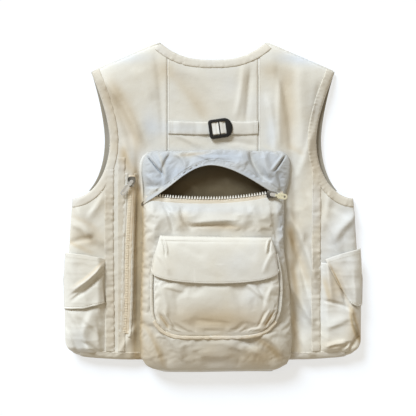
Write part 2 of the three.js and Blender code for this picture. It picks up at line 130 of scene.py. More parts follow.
# Effects that several finishes share
def newGroup(name, ins, outs):
    group = bpy.data.node_groups.new(name, "ShaderNodeTree")
    for label, kind, value in ins:
        socket = group.interface.new_socket(label, in_out="INPUT", socket_type=kind)
        if value is not None:
            socket.default_value = value
    for label, kind in outs:
        group.interface.new_socket(label, in_out="OUTPUT", socket_type=kind)
    return group, group.nodes.new("NodeGroupInput"), group.nodes.new("NodeGroupOutput")


def mathNode(tree, operation, a, b=None, clamp=False):
    node = tree.nodes.new("ShaderNodeMath")
    node.operation = operation
    node.use_clamp = clamp
    for i, value in enumerate((a, b)):
        if value is None:
            continue
        if isinstance(value, (int, float)):
            node.inputs[i].default_value = value
        else:
            tree.links.new(value, node.inputs[i])
    return node.outputs[0]


def noiseNode(tree, vector, scale, detail=3, roughness=0.55):
    node = tree.nodes.new("ShaderNodeTexNoise")
    node.inputs["Detail"].default_value = detail
    node.inputs["Roughness"].default_value = roughness
    tree.links.new(vector, node.inputs["Vector"])
    if isinstance(scale, (int, float)):
        node.inputs["Scale"].default_value = scale
    else:
        tree.links.new(scale, node.inputs["Scale"])
    return node.outputs["Fac"]


def mixColour(tree, factor, a, b, blend="MIX"):
    node = tree.nodes.new("ShaderNodeMix")
    node.data_type = "RGBA"
    node.blend_type = blend
    sockets = (node.inputs[0], node.inputs[6], node.inputs[7])
    for socket, value in zip(sockets, (factor, a, b)):
        if isinstance(value, (int, float)):
            socket.default_value = value
        elif isinstance(value, tuple):
            socket.default_value = (*value, 1)
        else:
            tree.links.new(value, socket)
    return node.outputs[2]


# Diagonal twill lines crossed by the threads, as a height from 0 to 1
def makeTwillGroup():
    group, start, end = newGroup("twillWeave", [
        ("Vector", "NodeSocketVector", None), ("Threads", "NodeSocketFloat", 900)],
        [("Height", "NodeSocketFloat")])
    split = group.nodes.new("ShaderNodeSeparateXYZ")
    group.links.new(start.outputs["Vector"], split.inputs[0])
    across = mathNode(group, "MULTIPLY", split.outputs["X"], start.outputs["Threads"])
    along = mathNode(group, "MULTIPLY", split.outputs["Y"], start.outputs["Threads"])
    slant = mathNode(group, "ADD", across, along)
    diagonal = mathNode(group, "SINE", mathNode(group, "MULTIPLY", slant, 3.1))
    thread = mathNode(group, "SINE", mathNode(group, "MULTIPLY", across, 6.2))
    lines = mathNode(group, "MULTIPLY", diagonal, 0.35)
    both = mathNode(group, "ADD", lines, mathNode(group, "MULTIPLY", thread, 0.15))
    group.links.new(mathNode(group, "ADD", both, 0.5), end.inputs["Height"])
    return group


# Painted shade and painted light on the cloth: tints of its warm and cool colours that stand for shade and
# for light, and how far they go
shadingTints = {
    "shadeTan": (0.83, 0.71, 0.535), "shadeTanShare": 0.72, "deepShade": (0.60, 0.60, 0.60), "deepShadeShare": 0.9,
    "litPale": (0.93, 0.97, 1.03), "litPaleShare": 0.85,
}


# Soft blotches of tone and small slubs in the yarn, for colour and roughness; the Tone input paints shade
# (above 0) and light (below 0) into the colour
def makeClothToneGroup():
    group, start, end = newGroup("clothTone", [
        ("Vector", "NodeSocketVector", None), ("Tone", "NodeSocketFloat", 0),
        ("Light", "NodeSocketColor", (0.8, 0.8, 0.8, 1)), ("Warm", "NodeSocketColor", (0.7, 0.6, 0.5, 1)),
        ("Cool", "NodeSocketColor", (0.7, 0.75, 0.8, 1)), ("Patch", "NodeSocketFloat", 9)],
        [("Color", "NodeSocketColor"), ("Roughness", "NodeSocketFloat")])
    vector = start.outputs["Vector"]
    patch = noiseNode(group, vector, start.outputs["Patch"], 4, 0.6)
    cool = noiseNode(group, vector, mathNode(group, "MULTIPLY", start.outputs["Patch"], 0.63), 3, 0.5)
    warmMask = mathNode(group, "MULTIPLY", mathNode(group, "SUBTRACT", patch, 0.48), 3.2, True)
    coolMask = mathNode(group, "MULTIPLY", mathNode(group, "SUBTRACT", cool, 0.53), 3.5, True)
    colour = mixColour(group, warmMask, start.outputs["Light"], start.outputs["Warm"])
    colour = mixColour(group, coolMask, colour, start.outputs["Cool"])
    uneven = mathNode(group, "ADD", mathNode(group, "MULTIPLY", patch, 0.9), 0.55)
    # Painted shade above 0, tan and then darker past 1; painted light below 0, pale and cool
    shadingAmount = mathNode(group, "MULTIPLY", start.outputs["Tone"], uneven)
    shadeTan = mixColour(group, 1.0, start.outputs["Warm"], shadingTints["shadeTan"], "MULTIPLY")
    colour = mixColour(group, mathNode(group, "MULTIPLY", shadingAmount, shadingTints["shadeTanShare"], True), colour, shadeTan)
    deepShade = mixColour(group, 1.0, shadeTan, shadingTints["deepShade"], "MULTIPLY")
    deepShadeMix = mathNode(group, "MULTIPLY", mathNode(group, "SUBTRACT", shadingAmount, 1.0), shadingTints["deepShadeShare"], True)
    colour = mixColour(group, deepShadeMix, colour, deepShade)
    litPale = mixColour(group, 1.0, start.outputs["Cool"], shadingTints["litPale"], "MULTIPLY")
    litPaleMix = mathNode(group, "MULTIPLY", shadingAmount, -shadingTints["litPaleShare"], True)
    colour = mixColour(group, litPaleMix, colour, litPale)
    slub = noiseNode(group, vector, 420, 2, 0.7)
    shade = group.nodes.new("ShaderNodeMapRange")
    group.links.new(slub, shade.inputs["Value"])
    shade.inputs["To Min"].default_value = 0.95
    shade.inputs["To Max"].default_value = 1.04
    grey = group.nodes.new("ShaderNodeCombineColor")
    for i in range(3):
        group.links.new(shade.outputs[0], grey.inputs[i])
    group.links.new(mixColour(group, 1.0, colour, grey.outputs[0], "MULTIPLY"), end.inputs["Color"])
    group.links.new(mathNode(group, "ADD", mathNode(group, "MULTIPLY", patch, 0.12), 0.76),
                    end.inputs["Roughness"])
    return group


# Brightens sharp edges where a surface has been rubbed
def makeWearGroup():
    group, start, end = newGroup("edgeWear", [
        ("Base", "NodeSocketColor", (0.5, 0.5, 0.5, 1)), ("Worn", "NodeSocketColor", (0.8, 0.8, 0.8, 1)),
        ("Amount", "NodeSocketFloat", 0.5)], [("Color", "NodeSocketColor")])
    geometry = group.nodes.new("ShaderNodeNewGeometry")
    raised = mathNode(group, "SUBTRACT", geometry.outputs["Pointiness"], 0.52)
    edge = mathNode(group, "MULTIPLY", raised, 9, True)
    mask = mathNode(group, "MULTIPLY", edge, start.outputs["Amount"], True)
    group.links.new(mixColour(group, mask, start.outputs["Base"], start.outputs["Worn"]),
                    end.inputs["Color"])
    return group


twillGroup = makeTwillGroup()
toneGroup = makeClothToneGroup()
wearGroup = makeWearGroup()


def placeGroup(tree, group, **values):
    node = tree.nodes.new("ShaderNodeGroup")
    node.node_tree = group
    for label, value in values.items():
        socket = node.inputs[label]
        if isinstance(value, tuple):
            socket.default_value = (*value, 1)
        elif isinstance(value, (int, float)):
            socket.default_value = value
        else:
            tree.links.new(value, socket)
    return node


def newMaterial(name):
    material = bpy.data.materials.new(name)
    material.use_nodes = True
    tree = material.node_tree
    coordinates = tree.nodes.new("ShaderNodeTexCoord").outputs["Object"]
    return material, tree, tree.nodes["Principled BSDF"], coordinates


def bumpInto(tree, shader, height, distance, strength=1.0):
    bump = tree.nodes.new("ShaderNodeBump")
    bump.inputs["Strength"].default_value = strength
    bump.inputs["Distance"].default_value = distance
    tree.links.new(height, bump.inputs["Height"])
    tree.links.new(bump.outputs[0], shader.inputs["Normal"])


def clothMaterial(name, light, warm, cool, patch=9, threads=900, sheen=0.06, crease=0.0011):
    material, tree, shader, coordinates = newMaterial(name)
    # The tone attribute paints shade and light into the cloth's colour
    paintedShadingInput = tree.nodes.new("ShaderNodeAttribute")
    paintedShadingInput.attribute_name = "tone"
    tone = placeGroup(tree, toneGroup, Vector=coordinates, Tone=paintedShadingInput.outputs["Fac"], Light=light, Warm=warm,
                      Cool=cool, Patch=patch)
    rubbed = tuple(min(1, v * 1.12) for v in light)
    worn = placeGroup(tree, wearGroup, Base=tone.outputs["Color"], Worn=rubbed, Amount=0.5)
    tree.links.new(worn.outputs["Color"], shader.inputs["Base Color"])
    tree.links.new(tone.outputs["Roughness"], shader.inputs["Roughness"])
    shader.inputs["Sheen Weight"].default_value = sheen
    weave = placeGroup(tree, twillGroup, Vector=coordinates, Threads=threads)
    wrinkle = noiseNode(tree, coordinates, 34, 5, 0.62)
    height = mathNode(tree, "ADD", mathNode(tree, "MULTIPLY", weave.outputs["Height"], 0.10), wrinkle)
    bumpInto(tree, shader, height, crease)
    return material


# Light, warm and cool colour of each cloth, with what differs from plain twill
fabrics = {
    "twill": ((0.735, 0.715, 0.655), (0.69, 0.645, 0.55), (0.70, 0.72, 0.745), {}),
    # The front's inside face, darkened partly as painted shade for the recess under the armhole's edge
    "reverse": ((0.37, 0.345, 0.29), (0.33, 0.285, 0.215), (0.36, 0.36, 0.35), {}),
    "trim": ((0.645, 0.605, 0.525), (0.60, 0.54, 0.44), (0.64, 0.63, 0.62), {"patch": 14}),
    # The strap's webbing in the buckle's windows: a lighter copy of the strap's cloth, a painted highlight
    "webbing": ((0.84, 0.83, 0.79), (0.80, 0.77, 0.70), (0.82, 0.83, 0.84), {"patch": 30}),
    # The bag's front: the twill a little darker, painted shade where its face tilts up to the key light
    "bag": ((0.675, 0.655, 0.60), (0.635, 0.59, 0.50), (0.645, 0.665, 0.69), {}),
    # The crown: the twill made cooler and darker, painted light of the blue key and painted shade
    "crown": ((0.545, 0.545, 0.525), (0.55, 0.505, 0.425), (0.49, 0.515, 0.55), {"patch": 18}),
    "lining": ((0.135, 0.105, 0.058), (0.10, 0.072, 0.036), (0.125, 0.105, 0.07), {"threads": 1300}),
    "tape": ((0.78, 0.70, 0.57), (0.75, 0.64, 0.49), (0.78, 0.74, 0.66), {"patch": 30, "threads": 1400}),
    "piping": ((0.72, 0.66, 0.55), (0.70, 0.61, 0.47), (0.72, 0.71, 0.68), {"patch": 24, "threads": 1200}),
    "thread": ((0.66, 0.62, 0.54), (0.60, 0.55, 0.46), (0.66, 0.65, 0.62), {"patch": 60}),
    "pile": ((0.62, 0.58, 0.50), (0.55, 0.50, 0.42), (0.60, 0.60, 0.58), {"patch": 80, "crease": 0.002}),
}
# Base and worn colour, metallic, range of roughness, depth of grain and wear of each hard material
solids = {
    "chain": ((0.76, 0.66, 0.50), (0.86, 0.79, 0.66), 0, (0.35, 0.55), 0.0001, 0.5),
    "teeth": ((0.86, 0.83, 0.76), (0.95, 0.93, 0.88), 0, (0.28, 0.48), 0.0001, 0.4),
    "metal": ((0.80, 0.81, 0.82), (0.98, 0.99, 1.0), 0.6, (0.12, 0.30), 0.00012, 1.0),
    # Near-black slider bodies: painted shade for the dark gaps seen round the sliders
    "shadedSliderMetal": ((0.12, 0.12, 0.12), (0.62, 0.62, 0.60), 0.85, (0.16, 0.34), 0.00012, 1.0),
    "gilt": ((0.90, 0.87, 0.66), (1.0, 0.98, 0.86), 0.35, (0.16, 0.36), 0.00012, 1.0),
    "buckle": ((0.007, 0.007, 0.008), (0.04, 0.04, 0.04), 0, (0.32, 0.5), 0.0001, 0.7),
}


def hardMaterial(name, base, worn, metallic, roughness, grain, wear):
    material, tree, shader, coordinates = newMaterial(name)
    speck = noiseNode(tree, coordinates, 260, 4, 0.6)
    colour = mixColour(tree, mathNode(tree, "MULTIPLY", speck, 0.5), base, tuple(v * 0.82 for v in base))
    edge = placeGroup(tree, wearGroup, Base=colour, Worn=worn, Amount=wear)
    tree.links.new(edge.outputs["Color"], shader.inputs["Base Color"])
    shader.inputs["Metallic"].default_value = metallic
    low, high = roughness
    uneven = mathNode(tree, "ADD", mathNode(tree, "MULTIPLY", speck, high - low), low)
    tree.links.new(uneven, shader.inputs["Roughness"])
    bumpInto(tree, shader, noiseNode(tree, coordinates, 900, 3, 0.6), grain)
    return material


materials = {name: clothMaterial(name, *colours, **more) for name, (*colours, more) in fabrics.items()}
materials.update({name: hardMaterial(name, *facts) for name, facts in solids.items()})
print("materials ready")


# Painted shade (above 0) and painted light (below 0) on the cloth, where folds and the bag's sides shade it
# or the light falls full: x, y, reach in x and y, amount
paintedShadingSpots = [
    (-192, 192, 17, 42, 0.3), (-156, 150, 24, 22, 0.2), (-171, 98, 12, 26, 0.5),
    (-30, 205, 26, 34, 0.15), (-98, 262, 20, 26, 0.4), (150, 185, 14, 58, 0.3), (112, 268, 22, 20, 0.4),
    (-144, -30, 9, 60, 1.5), (-144, -150, 9, 110, 1.7), (152, -62, 10, 46, 0.5),
    (158, -170, 8, 70, 0.6), (-134, -60, 7, 90, 0.7), (-150, -270, 20, 40, 0.7),
    (-190, -180, 26, 90, 0.3), (-240, -62, 32, 16, 0.6), (178, -118, 16, 52, 0.15),
    (160, -60, 14, 34, 0.2), (236, -150, 18, 42, 0.8), (272, -240, 14, 34, 0.7),
    (0, -214, 100, 26, 1.15), (92, -286, 30, 18, 0.6), (0, -286, 130, 28, 0.6),
    (-112, -280, 26, 36, 0.5), (-50, 99, 24, 7, 0.8), (20, -40, 56, 7, 0.6), (-58, -22, 12, 20, 0.6),
    (214, -30, 12, 50, 0.3), (-212, 20, 14, 40, 0.3), (232, -268, 22, 12, 0.5), (60, 240, 10, 40, 0.3),
    (196, 80, 14, 40, 0.5), (-122, -110, 10, 80, 0.4), (-122, 158, 22, 28, -0.7),
    (-60, 152, 70, 14, -0.6), (-104, 56, 34, 44, -1.0), (126, 60, 30, 40, -0.7),
    (10, 96, 120, 14, -0.9), (-40, 66, 50, 16, -1.0), (70, 60, 40, 20, -0.9), (-175, 290, 60, 12, -0.6),
    (180, 288, 60, 14, -1.0), (132, -30, 10, 44, -0.9), (112, 140, 12, 34, -0.6),
    (-60, -6, 40, 14, -0.3), (200, 200, 18, 30, -0.3), (-258, -260, 20, 30, -0.4),
    (180, -200, 20, 50, -0.4), (0, 285, 60, 16, -0.3),
]

# The same painted shade and light along folds, with a crisp side and a soft side: x, y at both ends, width,
# amount, bend
paintedShadingStreaks = [
    (-138, 122, -198, 240, 24, 0.75, -5), (-148, 56, -176, 112, 13, 0.7, 0),
    (-82, 258, -12, 168, 17, 0.45, 3), (142, 262, 140, 122, 20, 0.55, -3),
    (146, 118, 174, 102, 7, 0.5, 0), (100, 118, 122, 104, 6, 0.35, 0),
    (-149, 88, -147, -288, 10, 0.8, 0), (80, -250, 128, -290, 10, 0.8, 4),
    (146, -46, 188, -152, 9, 0.45, 0), (150, -112, 170, -200, 8, 0.4, 0),
    (154, -210, 166, -280, 7, 0.6, 0), (266, -196, 287, -262, 8, 1.3, -4),
    (-101, -206, -86, -228, 4, 0.9, 0), (112, -202, 98, -224, 4, 0.8, 0),
    (-212, -104, -266, -150, 4, 0.7, 3), (262, -186, 224, -110, 4, 0.6, 0),
    (-132, -226, -96, -302, 7, 0.6, 4), (-284, -66, -232, -92, 5, 0.6, 0),
    (-268, -20, -226, -44, 5, 0.5, 2), (214, -140, 224, -180, 6, 0.6, 0), (-96, 20, -62, 48, 7, 0.5, 3),
    (-104, 100, -94, 58, 4, 0.8, 3), (-66, 98, -6, 104, 5, 0.6, 0), (-122, 26, -96, 34, 8, 0.8, 0),
    (70, 102, 100, 52, 7, 0.55, -4), (-90, -2, 96, -8, 14, -0.35, 0), (-50, -34, 40, -38, 6, 0.5, 0),
]


# Painted shade and painted light at a point, from the spots and the streaks
def paintedShadingAt(x, y):
    total = foldHeight(x, y, paintedShadingStreaks)
    for spotX, spotY, reachX, reachY, amount in paintedShadingSpots:
        total += amount * np.exp(-((x - spotX) / reachX) ** 2 - ((y - spotY) / reachY) ** 2)
    return np.clip(total, -1, 2)


# Vertices are worked out in millimetres; the mesh is made in metres and rides at once
def addPiece(name, vertices, faces, finish, body, replaced=(), second=None, secondFaces=(), smooth=True):
    mesh = bpy.data.meshes.new(name)
    mesh.from_pydata((np.asarray(vertices, float) * mm).tolist(), [], [list(map(int, f)) for f in faces])
    mesh.validate()
    mesh.materials.append(materials[finish])
    if second:
        mesh.materials.append(materials[second])
        flags = np.zeros(len(mesh.polygons), np.int32)
        flags[list(secondFaces)] = 1
        mesh.polygons.foreach_set("material_index", flags)
    mesh.polygons.foreach_set("use_smooth", [smooth] * len(mesh.polygons))
    points = np.asarray(vertices, float)
    # Each vertex carries its painted shade and painted light in the tone attribute
    tone = mesh.attributes.new("tone", "FLOAT", "POINT")
    tone.data.foreach_set("value", paintedShadingAt(points[:, 0], points[:, 1]).astype(np.float32))
    piece = bpy.data.objects.new(name, mesh)
    bpy.context.scene.collection.objects.link(piece)
    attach(piece, body)
    if replaced:
        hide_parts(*replaced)
    return piece


# Takes a piece off its body, leaving it where it lies
def foldAlong(piece):
    piece.parent = None
    piece.matrix_world = Matrix.Identity(4)
    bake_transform(piece)


def gridFaces(rows, columns, start=0, flip=False):
    faces = []
    for r in range(rows - 1):
        for c in range(columns - 1):
            a = start + r * columns + c
            face = (a, a + 1, a + columns + 1, a + columns)
            faces.append(face[::-1] if flip else face)
    return faces


# Normals of a grid of points, shape (rows, columns, 3)
def gridNormals(points):
    alongRows = np.gradient(points, axis=0)
    alongColumns = np.gradient(points, axis=1)
    normals = np.cross(alongColumns, alongRows)
    lengths = np.linalg.norm(normals, axis=2, keepdims=True)
    return normals / np.maximum(lengths, 1e-9)


# Closed cloth from a grid of outer points: rows run up +Y, columns along +X, faces outwards
def clothFromGrid(name, points, thickness, finish, body, replaced=(), inner=None):
    rows, columns = points.shape[:2]
    normals = gridNormals(points)
    under = points - normals * thickness
    vertices = np.concatenate([points.reshape(-1, 3), under.reshape(-1, 3)])
    count = rows * columns
    faces = gridFaces(rows, columns) + gridFaces(rows, columns, count, True)
    firstUnder = (rows - 1) * (columns - 1)
    underFaces = range(firstUnder, 2 * firstUnder)
    edge = [c for c in range(columns)]
    edge += [r * columns + columns - 1 for r in range(1, rows)]
    edge += [(rows - 1) * columns + c for c in range(columns - 2, -1, -1)]
    edge += [r * columns for r in range(rows - 2, 0, -1)]
    for i, here in enumerate(edge):
        there = edge[(i + 1) % len(edge)]
        faces.append((here, here + count, there + count, there))
    return addPiece(name, vertices, faces, finish, body, replaced, inner, underFaces if inner else ())


def smooth(t):
    t = np.clip(t, 0, 1)
    return t * t * (3 - 2 * t)


# Smooth seeded undulation: crossed waves of many directions, about -1 to 1
def ripple(x, y, wavelength, seed, count=9):
    rng = np.random.default_rng(seed)
    total = np.zeros_like(x, dtype=float)
    for _ in range(count):
        angle = rng.uniform(0, math.pi)
        size = 2 * math.pi / (wavelength * rng.uniform(0.7, 1.5))
        total += np.sin(size * (x * math.cos(angle) + y * math.sin(angle)) + rng.uniform(0, 2 * math.pi))
    return total / math.sqrt(count)


# Crisp creases where soft undulations meet, from 0 to 1
def crumple(x, y, wavelength, seed):
    first = np.abs(ripple(x, y, wavelength, seed, 5))
    second = np.abs(ripple(x + 40, y, wavelength * 0.6, seed + 50, 5))
    return np.clip(1 - 1.6 * first, 0, 1) ** 2 + 0.45 * np.clip(1 - 1.8 * second, 0, 1) ** 2


# Blender's cloth settles a grid: its border is held and it is cut a little large, so it buckles
def relax(grid, held, swell=0.04, pressure=0.0, cap=4.0, frames=16, bend=1.5):
    rows, columns = grid.shape[:2]
    mesh = bpy.data.meshes.new("settling")
    mesh.from_pydata((grid.reshape(-1, 3) * mm).tolist(), [], gridFaces(rows, columns))
    piece = bpy.data.objects.new("settling", mesh)
    scene = bpy.context.scene
    scene.collection.objects.link(piece)
    group = piece.vertex_groups.new(name="held")
    weights = np.clip(held, 0, 1).ravel()
    for i in np.nonzero(weights > 0.02)[0]:
        group.add([int(i)], float(weights[i]), "REPLACE")
    cloth = piece.modifiers.new("settle", "CLOTH")
    facts = cloth.settings
    facts.quality = 5
    facts.mass = 0.15
    facts.tension_stiffness = facts.compression_stiffness = 14
    facts.shear_stiffness = 6
    facts.bending_stiffness = bend
    facts.air_damping = 2
    facts.shrink_min = facts.shrink_max = -swell
    facts.vertex_group_mass = "held"
    facts.use_pressure = pressure > 0
    facts.uniform_pressure_force = pressure
    facts.effector_weights.gravity = 0
    cloth.collision_settings.use_collision = False
    cloth.point_cache.frame_start = 1
    cloth.point_cache.frame_end = frames
    for frameNumber in range(1, frames + 1):
        scene.frame_set(frameNumber)
    settled = piece.evaluated_get(bpy.context.evaluated_depsgraph_get()).data
    points = np.zeros(rows * columns * 3, np.float32)
    settled.vertices.foreach_get("co", points)
    moved = points.reshape(grid.shape) / mm - grid
    bpy.data.objects.remove(piece)
    bpy.data.meshes.remove(mesh)
    scene.frame_set(1)
    length = np.linalg.norm(moved, axis=2, keepdims=True)
    print("cloth settled, mean move", round(float(length.mean()), 2), "mm")
    return grid + moved * np.minimum(1, cap / np.maximum(length, 1e-6))


# 1 on a grid's border, fading to 0 over some rows and columns
def border(rows, columns, low=3, high=3, sides=3, fade=4):
    r = np.arange(rows)[:, None]
    c = np.arange(columns)[None]
    inside = np.minimum(np.minimum(r - low, rows - 1 - r - high),
                        np.minimum(c - sides, columns - 1 - c - sides))
    return np.clip(1 - inside / fade, 0, 1)


# A crease or ridge in cloth: from one point to another, with a steep and a gentle side
def foldHeight(x, y, folds):
    total = np.zeros_like(x, dtype=float)
    for x0, y0, x1, y1, width, height, bend in folds:
        length = math.hypot(x1 - x0, y1 - y0)
        ux, uy = (x1 - x0) / length, (y1 - y0) / length
        along = (x - x0) * ux + (y - y0) * uy
        share = along / length
        side = -(x - x0) * uy + (y - y0) * ux - bend * 4 * np.clip(share, 0, 1) * (1 - np.clip(share, 0, 1))
        ends = smooth((share + 0.25) / 0.45) * smooth((1.25 - share) / 0.45)
        total += height * ends * np.exp(-(side / np.where(side > 0, width, width * 0.55)) ** 2)
    return total


# A polyline as evenly spaced points
def resample(points, count, ease=None):
    points = np.asarray(points, float)
    steps = np.linalg.norm(np.diff(points, axis=0), axis=1)
    travel = np.concatenate([[0], np.cumsum(steps)])
    share = np.linspace(0, 1, count) if ease is None else ease(np.linspace(0, 1, count))
    return np.stack([np.interp(share * travel[-1], travel, points[:, i]) for i in range(points.shape[1])],
                    axis=1)


# Closer points near both ends, where a seam turns down
def crowd(t):
    return t - 0.13 * np.sin(2 * math.pi * t)


# Grid of x, y points between four edge lines that share their corners
def patch(bottom, top, left, right, rows, columns, ease=crowd):
    b, t = resample(bottom, columns, ease), resample(top, columns, ease)
    l, r = resample(left, rows), resample(right, rows)
    u = ease(np.linspace(0, 1, columns))[None, :, None]
    v = np.linspace(0, 1, rows)[:, None, None]
    sides = (1 - u) * l[:, None] + u * r[:, None]
    ends = (1 - v) * b[None] + v * t[None]
    corners = (1 - u) * (1 - v) * b[0] + u * (1 - v) * b[-1] + (1 - u) * v * t[0] + u * v * t[-1]
    return sides + ends - corners


def mirrorGrid(points):
    return points[:, ::-1] * np.array([-1, 1, 1])


def distanceTo(line, x, y):
    fine = resample(line, 160)
    flatX, flatY = x.reshape(-1, 1), y.reshape(-1, 1)
    near = np.sqrt(((flatX - fine[:, 0]) ** 2 + (flatY - fine[:, 1]) ** 2).min(axis=1))
    return near.reshape(x.shape)


# The garment's outline, taken from the frame
neckHigh = boxMm("neck_binding")[1]
seamLow, seamHigh = boxMm("shoulder_seam_right")
centreHigh = boxMm("back_centre_panel")[1]
sideLow, sideHigh = boxMm("side_panel_right")
garment = {
    "neckDrop": 34, "neckPower": 2.8, "holePower": 1.6, "frontGrowth": 11, "underY": 16,
    "clothThickness": 1.6, "top": centreHigh[2] + 0.6, "hemRise": 8, "shoulderOut": 4, "hemCorner": 19,
    "frontZipHalf": 8, "seamGap": 0.2, "frontSeamX": 230,
}
neckHalf, neckTop = seamLow[0] + 0.5, neckHigh[1] + garment["shoulderOut"]
tipX, tipY = seamHigh[0] - 1 + garment["shoulderOut"], seamLow[1] + garment["shoulderOut"]
holeX, holeY = sideLow[0], sideHigh[1]
hemY, underX = sideLow[1], sideHigh[0]
yokeX, seamX = centreHigh[0], sideLow[0]


def neckLine(count=60, half=None):
    half = half or neckHalf
    x = np.linspace(-half, half, count)
    y = neckTop - garment["neckDrop"] * (1 - (np.abs(x) / neckHalf) ** garment["neckPower"])
    return np.stack([x, y], axis=1)


# From the shoulder tip down to the underarm
def armholeLine(growth=0, count=40):
    half = holeX + growth
    s = np.linspace(1, 0, count)
    upper = np.stack([half + (tipX - half) * s ** garment["holePower"], holeY + (tipY - holeY) * s], axis=1)
    turn = np.linspace(0, math.pi / 2, count)[1:]
    lower = np.stack([half + (underX - half) * (1 - np.cos(turn)),
                      holeY - (holeY - garment["underY"]) * np.sin(turn)], axis=1)
    return np.concatenate([upper, lower])


def fall(distance, reach, depth):
    return depth * (1 - np.sqrt(1 - (1 - np.clip(distance / reach, 0, 1)) ** 2))


# The side's edge, with the hem's corner rounded off
def sideEdge(y, corner=garment["hemCorner"]):
    stations = [(hemY, 5), (-237, 6), (-150, 7), (-93, 7), (-44, 4), (garment["underY"], 0)]
    edge = underX + np.interp(y, [s[0] for s in stations], [s[1] for s in stations])
    return edge - fall(y - hemY - garment["hemRise"], corner, corner) if corner else edge


def sideLine(count=160):
    low = hemY + hemLift(sideEdge(hemY))
    y = low + (garment["underY"] - low) * np.linspace(0, 1, count) ** 2
    return np.stack([sideEdge(y), y], axis=1)


def hemLine(x0, x1, count=30):
    x = np.linspace(x0, x1, count)
    return np.stack([x, hemY + hemLift(x)], axis=1)


def hemLift(x):
    return garment["hemRise"] * np.clip((np.abs(x) - 141) / 134, 0, 2) ** 2


shoulderLine = [(neckHalf, neckTop), (tipX, tipY)]

# Folds that the cloth holds: x, y at both ends, width, height, bend
backFolds = [
    (-216, 250, -140, 140, 20, 5.5, 6), (-185, 205, -158, 128, 13, -4.5, 0),
    (-172, 122, -150, 62, 9, 3.5, 0), (-150, 262, -118, 215, 16, 2.5, 3),
    (-112, 300, -98, 150, 9, -1.6, 2), (128, 262, 152, 112, 13, -5.0, 6),
    (168, 262, 176, 128, 16, 4.2, -3), (106, 205, 122, 112, 10, 4.2, 3),
    (196, 150, 168, 66, 10, 3.2, 0), (150, 96, 186, 20, 14, -3.4, 0), (206, 236, 196, 170, 10, -2.5, 0),
    (-62, 250, -8, 162, 18, -2.6, 4), (-40, 268, 20, 196, 15, 1.8, 0), (58, 266, 46, 184, 8, 2.8, 2),
    (72, 262, 64, 172, 7, -2.2, 0), (-70, 138, -30, 118, 7, 2.4, 2), (20, 130, 80, 118, 6, -1.6, 0),
    (154, -24, 198, -146, 11, 8.5, 4), (150, -50, 182, -164, 9, -6.0, 2),
    (182, -60, 160, -120, 12, -3.5, 0), (152, -150, 190, -222, 10, 7.0, 0),
    (150, -186, 172, -250, 9, -4.0, 0), (158, -232, 188, -284, 10, 3.5, 0),
    (-150, -232, -186, -290, 9, 3.0, 0), (-272, -34, -212, -76, 9, 4.2, 4),
    (-262, -4, -238, -62, 11, 4.6, 0), (-282, -70, -232, -60, 8, -3, 0),
    (236, -62, 284, -12, 11, 5.0, 4), (222, -30, 246, -84, 10, 3.6, 0), (226, 2, 268, -22, 10, -3, 0),
    (-145, 60, -149, -286, 12, -6.5, 0), (158, 40, 162, -286, 13, -4.5, 0),
    (-140, 124, -200, 238, 11, 3.2, -5), (130, 250, 130, 124, 8, 2.6, -3),
    (-232, -200, -262, -268, 12, 4, 0), (226, 24, 214, -40, 8, 2.6, 0),
    (-214, 20, -238, -18, 9, 2.8, 0),
]


def bodyHeight(x, y):
    x, y = np.asarray(x, float), np.asarray(y, float)
    side = np.clip(sideEdge(y) - np.abs(x), 0, None)
    hole = distanceTo(armholeLine(), np.abs(x), y)
    neck = distanceTo(neckLine(), x, y)
    shoulder = distanceTo(shoulderLine, np.abs(x), y)
    hem = np.clip(y - hemY - hemLift(x), 0, None)
    height = np.full(x.shape, garment["top"])
    height -= np.where(y < holeY, fall(side, 20, 12), 0) + fall(hole, 42, 9) + fall(neck, 34, 9)
    height -= fall(shoulder, 46, 13) + fall(hem, 24, 6)
    height += 1.15 * foldHeight(x, y, backFolds) + 0.55 * ripple(x, y, 75, seedValue)
    calm = 0.35 + 0.65 * smooth((150 - y) / 120)
    height += calm * (0.5 * crumple(x, y, 58, seedValue + 31) + 0.12 * ripple(x, y, 19, seedValue + 1))
    strip = np.exp(-((np.abs(x) - seamX) / 9) ** 2) * smooth((40 - y) / 60)
    height += 0.55 * strip * ripple(x * 0.2, y, 9, seedValue + 2, 4)
    return np.maximum(height, 6)


# The front lies underneath, on its pockets and its zip
def frontHeight(x, y):
    x, y = np.abs(np.asarray(x, float)), np.asarray(y, float)
    chest = smooth((26 - np.maximum(np.abs(x - 122) - 60, np.abs(y - 110) - 58)) / 26)
    pocket = smooth((22 - np.maximum(150 - x, np.abs(y + 200) - 88)) / 22) * 0.45
    zipRun = smooth((70 - x) / 58)
    ripples = 0.25 * ripple(x, y, 40, seedValue + 3)
    return 1.4 + 9.0 * np.maximum(np.maximum(chest, zipRun), pocket) + ripples


def onBody(grid, lift=0.0):
    return np.dstack([grid, bodyHeight(grid[..., 0], grid[..., 1]) + lift])


# Cloth turns down where it meets a seam
def sunkEdges(grid, depth=1.3, both=True):
    columns = grid.shape[1]
    x = grid[..., 0]
    fromLeft = np.abs(x - x[:, :1])
    fromRight = np.abs(x - x[:, -1:])
    dip = np.exp(-(fromLeft / 2.2) ** 2)
    if both:
        dip = dip + np.exp(-(fromRight / 2.2) ** 2)
    grid[..., 2] -= depth * np.clip(dip, 0, 1) * (columns > 4)
    return grid


cloth = garment["clothThickness"]
backPanels = {"rows": 190, "columns": 62, "centreColumns": 84}


def makeCentrePanel():
    edge = yokeX - garment["seamGap"]
    top = neckLine(3, yokeX)[0][1]
    left, right = [(-edge, hemY), (-edge, top)], [(edge, hemY), (edge, top)]
    flat = patch(hemLine(-edge, edge), neckLine(60, edge), left, right, backPanels["rows"],
                 backPanels["centreColumns"])
    clothFromGrid("centre_back_cloth", sunkEdges(onBody(flat)), cloth, "twill", "vest",
                  ("back_centre_panel",))


